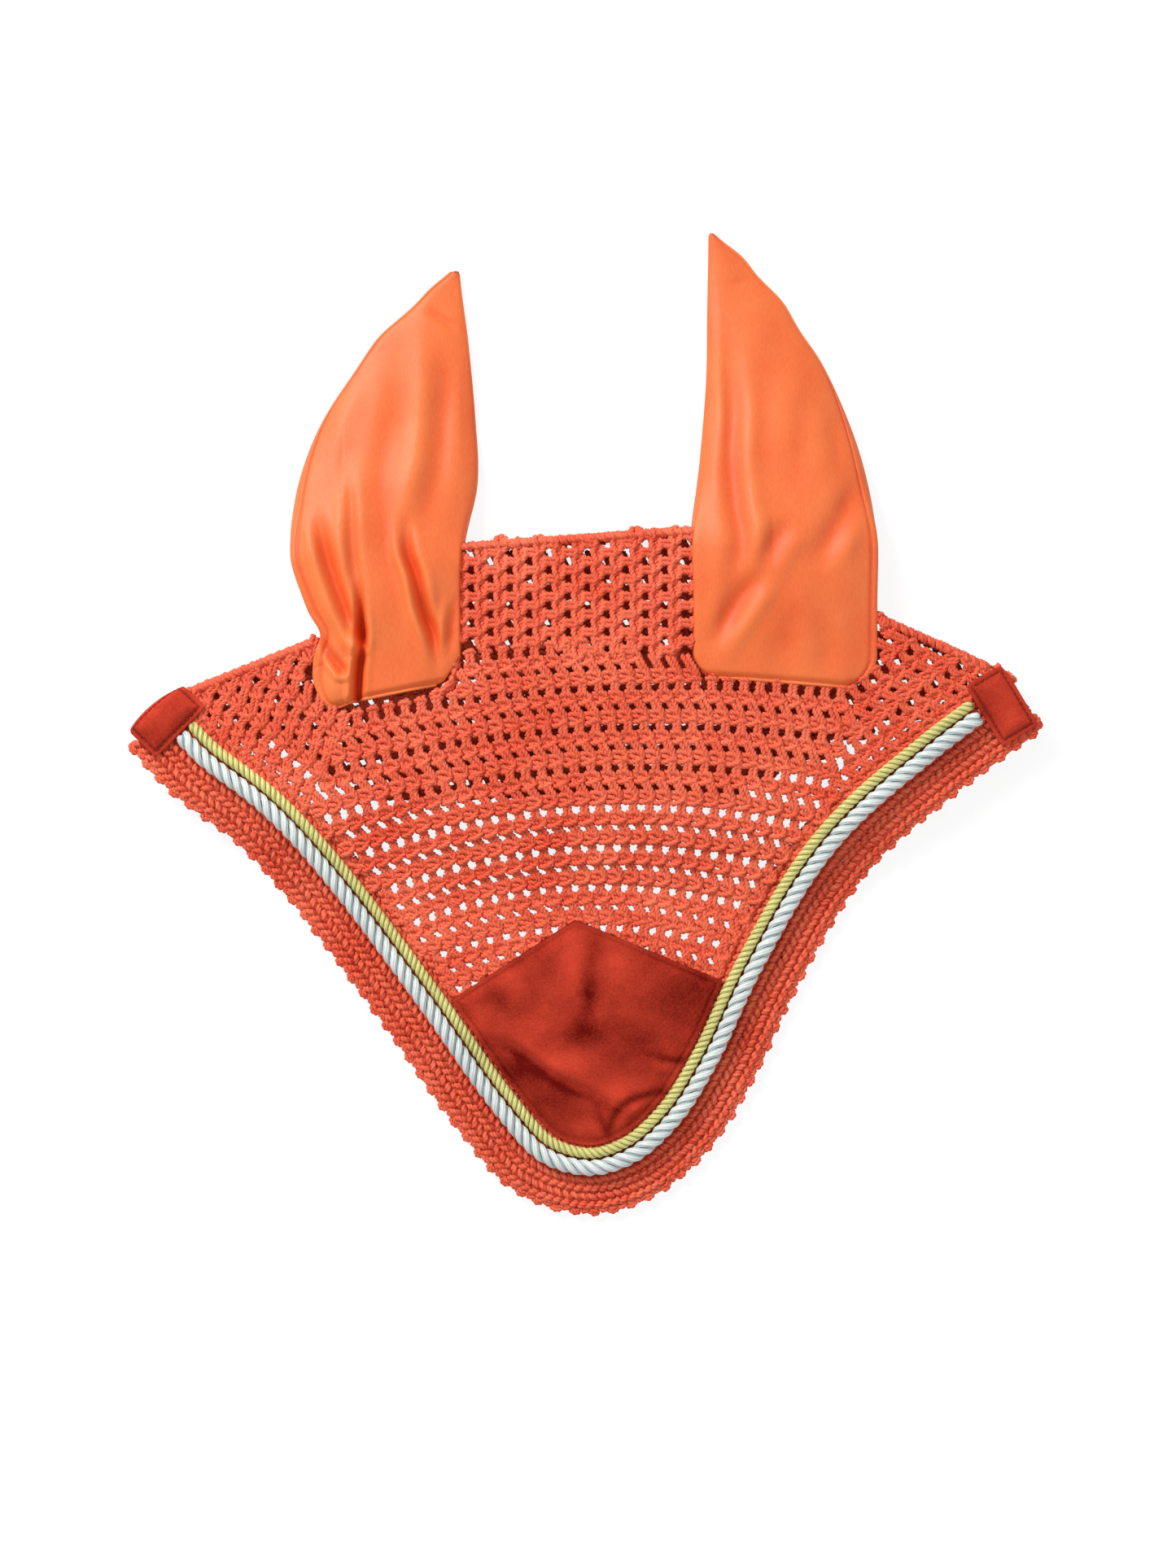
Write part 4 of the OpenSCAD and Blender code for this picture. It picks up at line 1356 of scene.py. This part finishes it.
RIGHT_CREASES = (
    Crease(((16, 194), (20, 148), (19, 119), (21, 92), (24, 72), (18, 47), (11, 20)), 2.6, 5.0, 1.3),
    Crease(((11, 216), (12, 170), (14, 141), (10, 100)), -1.4, 4.0),
    Crease(((92, 114), (76, 83), (60, 56)), 2.2, 5.4, 1.0),
    Crease(((50, 88), (38, 67), (32, 54)), 2.0, 5.0, 0.9),
    Crease(((40, 66), (22, 40), (5, 12)), 3.0, 5.0, 1.4),
    Crease(((56, 44), (51, 25), (48, 6)), 1.2, 7.0, 0.5),
    Crease(((62, 38), (69, 18), (76, 2)), 1.2, 6.0, 0.5),
    Crease(((57, 160), (56, 123), (54, 88)), 0.9, 6.0, 0.4),
    Crease(((37, 186), (36, 141), (37, 100)), 0.8, 7.0, 0.4),
    Crease(((78, 156), (76, 128), (80, 98)), 0.8, 6.0, 0.4),
    Crease(((18, 213), (34, 217)), 0.7, 2.0),
)


@dataclass
class EarSleeve:
    """One cloth ear sleeve: a crowned front panel, a flat back panel, the seam between and the sewn hem."""

    plan: EarPlan
    creases: tuple[Crease, ...]
    hem_line: tuple[tuple[float, float], ...]
    cloth: float = 0.8
    rows: int = 230
    cols: int = 132
    blend_run: float = 35.0
    overhang: float = 2.6
    lap_y: float = 70.0
    outline_swells: tuple[tuple[float, float, float], ...] = ()
    lobes: tuple[tuple[float, float, float, float], ...] = ()
    seam_inset: float = 4.2

    @property
    def name(self) -> str:
        """The side's name, which starts each piece's name."""
        return self.plan.side.name.lower()

    def rows_y(self) -> Array:
        """Gives the rows' distances from the hem, closer together near it."""
        t = np.linspace(0, 1, self.rows)
        return self.plan.length * (0.55 * t + 0.45 * t**2)

    def plane(self, s: Array, y: Array, slack: Array | float = 0.0) -> tuple[Array, Array]:
        """Gives a panel's plane points.

        Args:
            s: shares across, from the low edge to the high one.
            y: distances from the hem.
            slack: how far the panel bulges past its edges.

        Returns:
            The x and y of each point.
        """
        t = y / self.plan.length
        low, high = self.plan.low(t), self.plan.high(t)
        fill = np.zeros_like(t)
        for place, run, swell in self.outline_swells:
            fill = fill + swell * np.exp(-(((t - place) / run) ** 2))
        if self.plan.side is Side.RIGHT:
            high = high + fill
        else:
            low = low - fill
        x = low[:, None] + (high - low)[:, None] * s[None] + slack
        u = np.abs(x - self.plan.root_x)
        hem_u = [p[0] for p in self.hem_line]
        hem_v = [p[1] for p in self.hem_line]
        lift = np.interp(u, hem_u, hem_v)
        tall = y[:, None] + lift * (1 - ease(y[:, None] / 30))
        return x, self.plan.hem + tall

    def relief(self, x: Array, y: Array) -> Array:
        """Gives how far the creases push the cloth down or up at plane points."""
        local = np.stack([np.abs(x - self.plan.root_x), y - self.plan.hem], axis=-1).reshape(-1, 2)
        out = np.zeros(len(local))
        for crease in self.creases:
            line = spline(np.array(crease.line, dtype=float), 5)
            low, high = line.min(axis=0), line.max(axis=0)
            reach = 3.2 * crease.width
            near = np.all((local > low - reach) & (local < high + reach), axis=1)
            if not near.any():
                continue
            dist, signed, along = path_distance(local[near], line)
            taper = crease.taper(along)
            cut = np.exp(-((dist / crease.width) ** 2))
            bank = np.exp(-(((dist - 2.1 * crease.width) / crease.width) ** 2))
            lean = 0.5 + 0.5 * np.sign(signed)
            out[near] += taper * (crease.ridge * bank * (0.5 + lean) - crease.depth * cut)
        for across, up, radius, rise in self.lobes:
            reach = ((local[:, 0] - across) ** 2 + (local[:, 1] - up) ** 2) / radius**2
            out += rise * np.exp(-reach)
        return out.reshape(x.shape)

    def front(self) -> tuple[Array, Array]:
        """Gives the front panel's points, which lap over the crochet near the hem, and its tones: painted
        shade in the creases, painted light on their banks and lobes, darker along the seam line.
        """
        y = self.rows_y()
        s = 0.5 - 0.5 * np.cos(np.pi * np.linspace(0, 1, self.cols))
        lap = (1 - ease((y - self.lap_y) / 40))[:, None]
        lean = np.exp(-(((s - 0.03) / 0.03) ** 2)) - np.exp(-(((s - 0.97) / 0.03) ** 2))
        x, py = self.plane(s, y, -self.overhang * lap * lean[None])
        sine = np.maximum(0, np.sin(np.pi * s))[None]
        arch = sine ** (0.5 - 0.34 * lap)
        base = self.plan.base(y)[:, None] + 2 * self.cloth
        crown = self.plan.crown(y)[:, None] - 2 * self.cloth + 2.6 * lap
        local = py - self.plan.hem
        soft = 0.45 * np.sin(x / 9 + local / 17) + 0.35 * np.sin(local / 9 - x / 13)
        soft = soft + 0.2 * np.sin(x / 3.6 + 1)
        z = base + crown * arch + (self.relief(x, py) + soft * arch) * np.minimum(1, sine * 2.2)
        tuck = 1 - ease(y / 5.0)[:, None]
        z -= 2.4 * tuck**2 * arch
        outer = s[None] if self.plan.side is Side.LEFT else 1 - s[None]
        t = y / self.plan.length
        across = outer * (self.plan.high(t) - self.plan.low(t))[:, None]
        inset = (self.seam_inset * ease((self.plan.length * 0.72 - y) / 70))[:, None] + 0.6
        line = np.exp(-(((across - inset) / 0.55) ** 2))
        z -= 0.9 * line + 0.5 * (across < inset) * sine
        # Painted shade and light: the creases' valleys darker, their ridges and the lobes lighter; darker
        # along the seam line too.
        tone = np.clip(0.56 + 0.11 * self.relief(x, py) - 0.4 * line, 0, 0.85)
        return np.stack([x, py, np.maximum(z, base + 0.1)], axis=2), tone

    def back(self) -> Array:
        """Gives the back panel's points."""
        y = self.rows_y()[::2]
        s = np.linspace(0, 1, self.cols // 2)
        x, py = self.plane(s, y)
        middle = x.mean(axis=1, keepdims=True)
        wider = 0.012
        x = middle + (x - middle) * (1 + wider)
        z = self.plan.base(y)[:, None] + self.cloth + 0.25 * np.sin(x / 11) * np.cos(py / 14)
        return np.stack([x, py, np.maximum(z, self.cloth + 0.05)], axis=2)

    def build(self) -> None:
        """Makes the sleeve's pieces."""
        (front, tone), back = self.front(), self.back()
        panels = {"front": (front, tone), "back": (back, 0.5)}
        for part, (grid, shade) in panels.items():
            piece = shell(f"{self.name}_ear_{part}_cloth", grid, self.cloth, shade)
            EAR_CLOTH.dress(piece)
            self.bend(piece, f"{self.name}_ear_{part}")
            width = self.plan.width * 1.02
            flat = (width * MM, self.plan.length * MM)
            area = min(surface_area(grid), flat[0] * flat[1])
            f"{self.name}_ear_hem"
        self.seam(front)
        self.hem(front)

    def bend(self, piece: bpy.types.Object, *nodes: str) -> None:
        """Fixes a piece's place into its mesh and names what it stands for."""
        ear = self.plan
        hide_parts(*nodes)
        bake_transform(piece)
        LOG.info("%s: %d faces on %s", piece.name, len(piece.data.polygons), ear.body)

    def seam(self, front: Array) -> None:
        """Rolls the joined edges of the two panels into a thin seam."""
        cord = Yarn(radius=0.95, plies=1, sides=10, lay=900.0, groove=0.0)
        pile = YarnPile(f"{self.name}_ear_seam_roll", cord, seed=SEED + 95)
        sides = []
        for column, sign in ((0, -1.0), (-1, 1.0)):
            path = front[:, column].copy()
            path[:, 0] -= sign * 0.5
            path[:, 2] = self.plan.base(path[:, 1] - self.plan.hem) + self.cloth + 0.5
            sides.append(path)
        pile.add(np.array(sides))
        piece = pile.build()
        EAR_CLOTH.dress(piece)
        self.bend(piece, f"{self.name}_ear_seam")

    def hem(self, front: Array) -> None:
        """Rolls the sleeve's hem into a thin edge."""
        cord = Yarn(radius=0.9, plies=1, sides=10, lay=900.0, groove=0.0)
        pile = YarnPile(f"{self.name}_ear_hem_roll", cord, seed=SEED + 96)
        pile.add(front[None, 0, 5:-5] - [0, 0, 0.2])
        piece = pile.build()
        EAR_CLOTH.dress(piece)
        self.bend(piece, f"{self.name}_ear_hem")


# ---------------------------------------------------------------- stage


@dataclass(frozen=True)
class Stage:
    """The camera, the pale floor and the soft studio light."""

    eye: tuple[float, float, float] = (0.0007, -0.0315, 1.178)
    lens: float = 50.0
    sensor: float = 36.0
    floor_size: float = 6.0
    shadow_share: float = 0.17
    glow: float = 0.86

    def camera(self) -> None:
        """Sets the camera straight above the bonnet."""
        data = bpy.data.cameras.new("camera")
        data.lens = self.lens
        data.sensor_width = self.sensor
        data.sensor_fit = "AUTO"
        made = bpy.data.objects.new("camera", data)
        made.location = self.eye
        bpy.context.scene.collection.objects.link(made)
        bpy.context.scene.camera = made

    def floor(self) -> None:
        """Lays the floor, white to the camera apart from a faint shadow."""
        half = self.floor_size / 2 / MM
        corners = np.array([[-half, -half, 0], [half, -half, 0], [half, half, 0], [-half, half, 0]])
        plane = make_object("floor", corners - [0, 0, 1.1], np.array([[0, 1, 2, 3]]))
        made = bpy.data.materials.new("pale_floor")
        made.use_nodes = True
        tree = made.node_tree
        tree.nodes.clear()
        output = tree.nodes.new("ShaderNodeOutputMaterial")
        lit = tree.nodes.new("ShaderNodeBsdfDiffuse")
        lit.inputs["Color"].default_value = (self.shadow_share, self.shadow_share, self.shadow_share, 1)
        glow = tree.nodes.new("ShaderNodeEmission")
        glow.inputs["Strength"].default_value = self.glow
        seen = tree.nodes.new("ShaderNodeAddShader")
        plain = tree.nodes.new("ShaderNodeBsdfDiffuse")
        plain.inputs["Color"].default_value = (0.75, 0.75, 0.75, 1)
        pick = tree.nodes.new("ShaderNodeMixShader")
        rays = tree.nodes.new("ShaderNodeLightPath")
        direct = tree.nodes.new("ShaderNodeMath")
        direct.operation = "MAXIMUM"
        shiny = tree.nodes.new("ShaderNodeMath")
        shiny.operation = "MAXIMUM"
        tree.links.new(rays.outputs["Is Camera Ray"], direct.inputs[0])
        tree.links.new(rays.outputs["Is Glossy Ray"], direct.inputs[1])
        tree.links.new(direct.outputs["Value"], shiny.inputs[0])
        tree.links.new(rays.outputs["Is Transmission Ray"], shiny.inputs[1])
        tree.links.new(lit.outputs["BSDF"], seen.inputs[0])
        tree.links.new(glow.outputs["Emission"], seen.inputs[1])
        tree.links.new(shiny.outputs["Value"], pick.inputs["Fac"])
        tree.links.new(plain.outputs["BSDF"], pick.inputs[1])
        tree.links.new(seen.outputs["Shader"], pick.inputs[2])
        tree.links.new(pick.outputs["Shader"], output.inputs["Surface"])
        plane.data.materials.append(made)

    def lamp(self, name: str, place: tuple[float, float, float], size: float, power: float) -> None:
        """Hangs a soft square lamp that looks at the bonnet's middle."""
        data = bpy.data.lights.new(name, "AREA")
        data.size = size
        data.energy = power
        made = bpy.data.objects.new(name, data)
        made.location = place
        direction = -made.location
        made.rotation_euler = direction.to_track_quat("-Z", "Y").to_euler()
        bpy.context.scene.collection.objects.link(made)

    def world(self) -> None:
        """Fills the room with even pale light, white to the camera."""
        made = bpy.data.worlds.new("studio")
        bpy.context.scene.world = made
        made.use_nodes = True
        tree = made.node_tree
        tree.nodes.clear()
        output = tree.nodes.new("ShaderNodeOutputWorld")
        light = tree.nodes.new("ShaderNodeBackground")
        light.inputs["Color"].default_value = (1, 1, 1, 1)
        light.inputs["Strength"].default_value = 0.52
        white = tree.nodes.new("ShaderNodeBackground")
        white.inputs["Strength"].default_value = 1.0
        rays = tree.nodes.new("ShaderNodeLightPath")
        pick = tree.nodes.new("ShaderNodeMixShader")
        tree.links.new(rays.outputs["Is Camera Ray"], pick.inputs["Fac"])
        tree.links.new(light.outputs["Background"], pick.inputs[1])
        tree.links.new(white.outputs["Background"], pick.inputs[2])
        tree.links.new(pick.outputs["Shader"], output.inputs["Surface"])

    def build(self) -> None:
        """Sets the whole stage."""
        self.camera()
        self.floor()
        self.world()
        self.lamp("key", (-1.1, 1.2, 1.25), 0.7, 36.0)
        self.lamp("fill", (1.2, 0.2, 1.5), 1.4, 5.0)
        bpy.context.scene.view_settings.view_transform = "Standard"


def ear_plans(layout: Layout, face_poll: tuple[float, float]) -> tuple[EarPlan, EarPlan]:
    """Measures both ears from the frame.

    Args:
        layout: the shared outlines.
        face_poll: the two ear roots as shares of half the width.

    Returns:
        The left ear's plan and the right ear's.
    """
    width = 97.0
    left_hem, left_tip = (v[1] for v in (layout.box("left_ear_hem")[0], layout.box("left_ear_front")[1]))
    right_hem, right_tip = (v[1] for v in (layout.box("right_ear_hem")[0], layout.box("right_ear_front")[1]))
    left = EarPlan(
        Side.LEFT, "left_ear", face_poll[0] * layout.half_w, left_hem, left_tip - left_hem,
        inner=(0, 0, -0.008, -0.093, -0.079, -0.043, 0.005),
        outer=(0.80, 0.805, 0.921, 0.890, 0.743, 0.490, 0.035),
        width=width,
    )
    right = EarPlan(
        Side.RIGHT, "right_ear", face_poll[1] * layout.half_w, right_hem, right_tip - right_hem,
        inner=(0, 0, -0.005, 0.040, 0.073, 0.080, 0.087),
        outer=(1, 0.998, 0.996, 0.922, 0.764, 0.530, 0.100),
        width=width,
    )
    return left, right


def main() -> None:
    """Builds the stage and the bonnet, part by part."""
    logging.basicConfig(level=logging.INFO, format="%(name)s %(message)s")
    Stage().build()
    layout = Layout()
    ears = ear_plans(layout, Face.poll_x)
    face = Face(layout, ears)
    face.forehead()
    face.poll()
    face.wing(Side.LEFT)
    face.wing(Side.RIGHT)
    face.nape()
    face.hole_edges()
    face.fold_edges()
    Border(layout).build()
    Trims(layout, face).build()
    left_swells = ((0.965, 0.035, 4.0), (0.93, 0.03, 1.0), (0.77, 0.08, -3.0), (0.147, 0.035, -4.5))
    left_lobes = ((68, 6, 10, 3.4), (14, 60, 12, 1.6))
    left_hem = ((0, 16), (8, 8), (57, -2), (70, -7), (80, 0))
    EarSleeve(ears[0], LEFT_CREASES, left_hem, outline_swells=left_swells, lobes=left_lobes).build()
    right_swells = ((0.95, 0.04, 5.5), (0.785, 0.055, -3.0))
    right_hem = ((0, 2), (30, 0), (80, -4), (97, -1))
    EarSleeve(ears[1], RIGHT_CREASES, right_hem, outline_swells=right_swells).build()


if __name__ == "__main__":
    main()
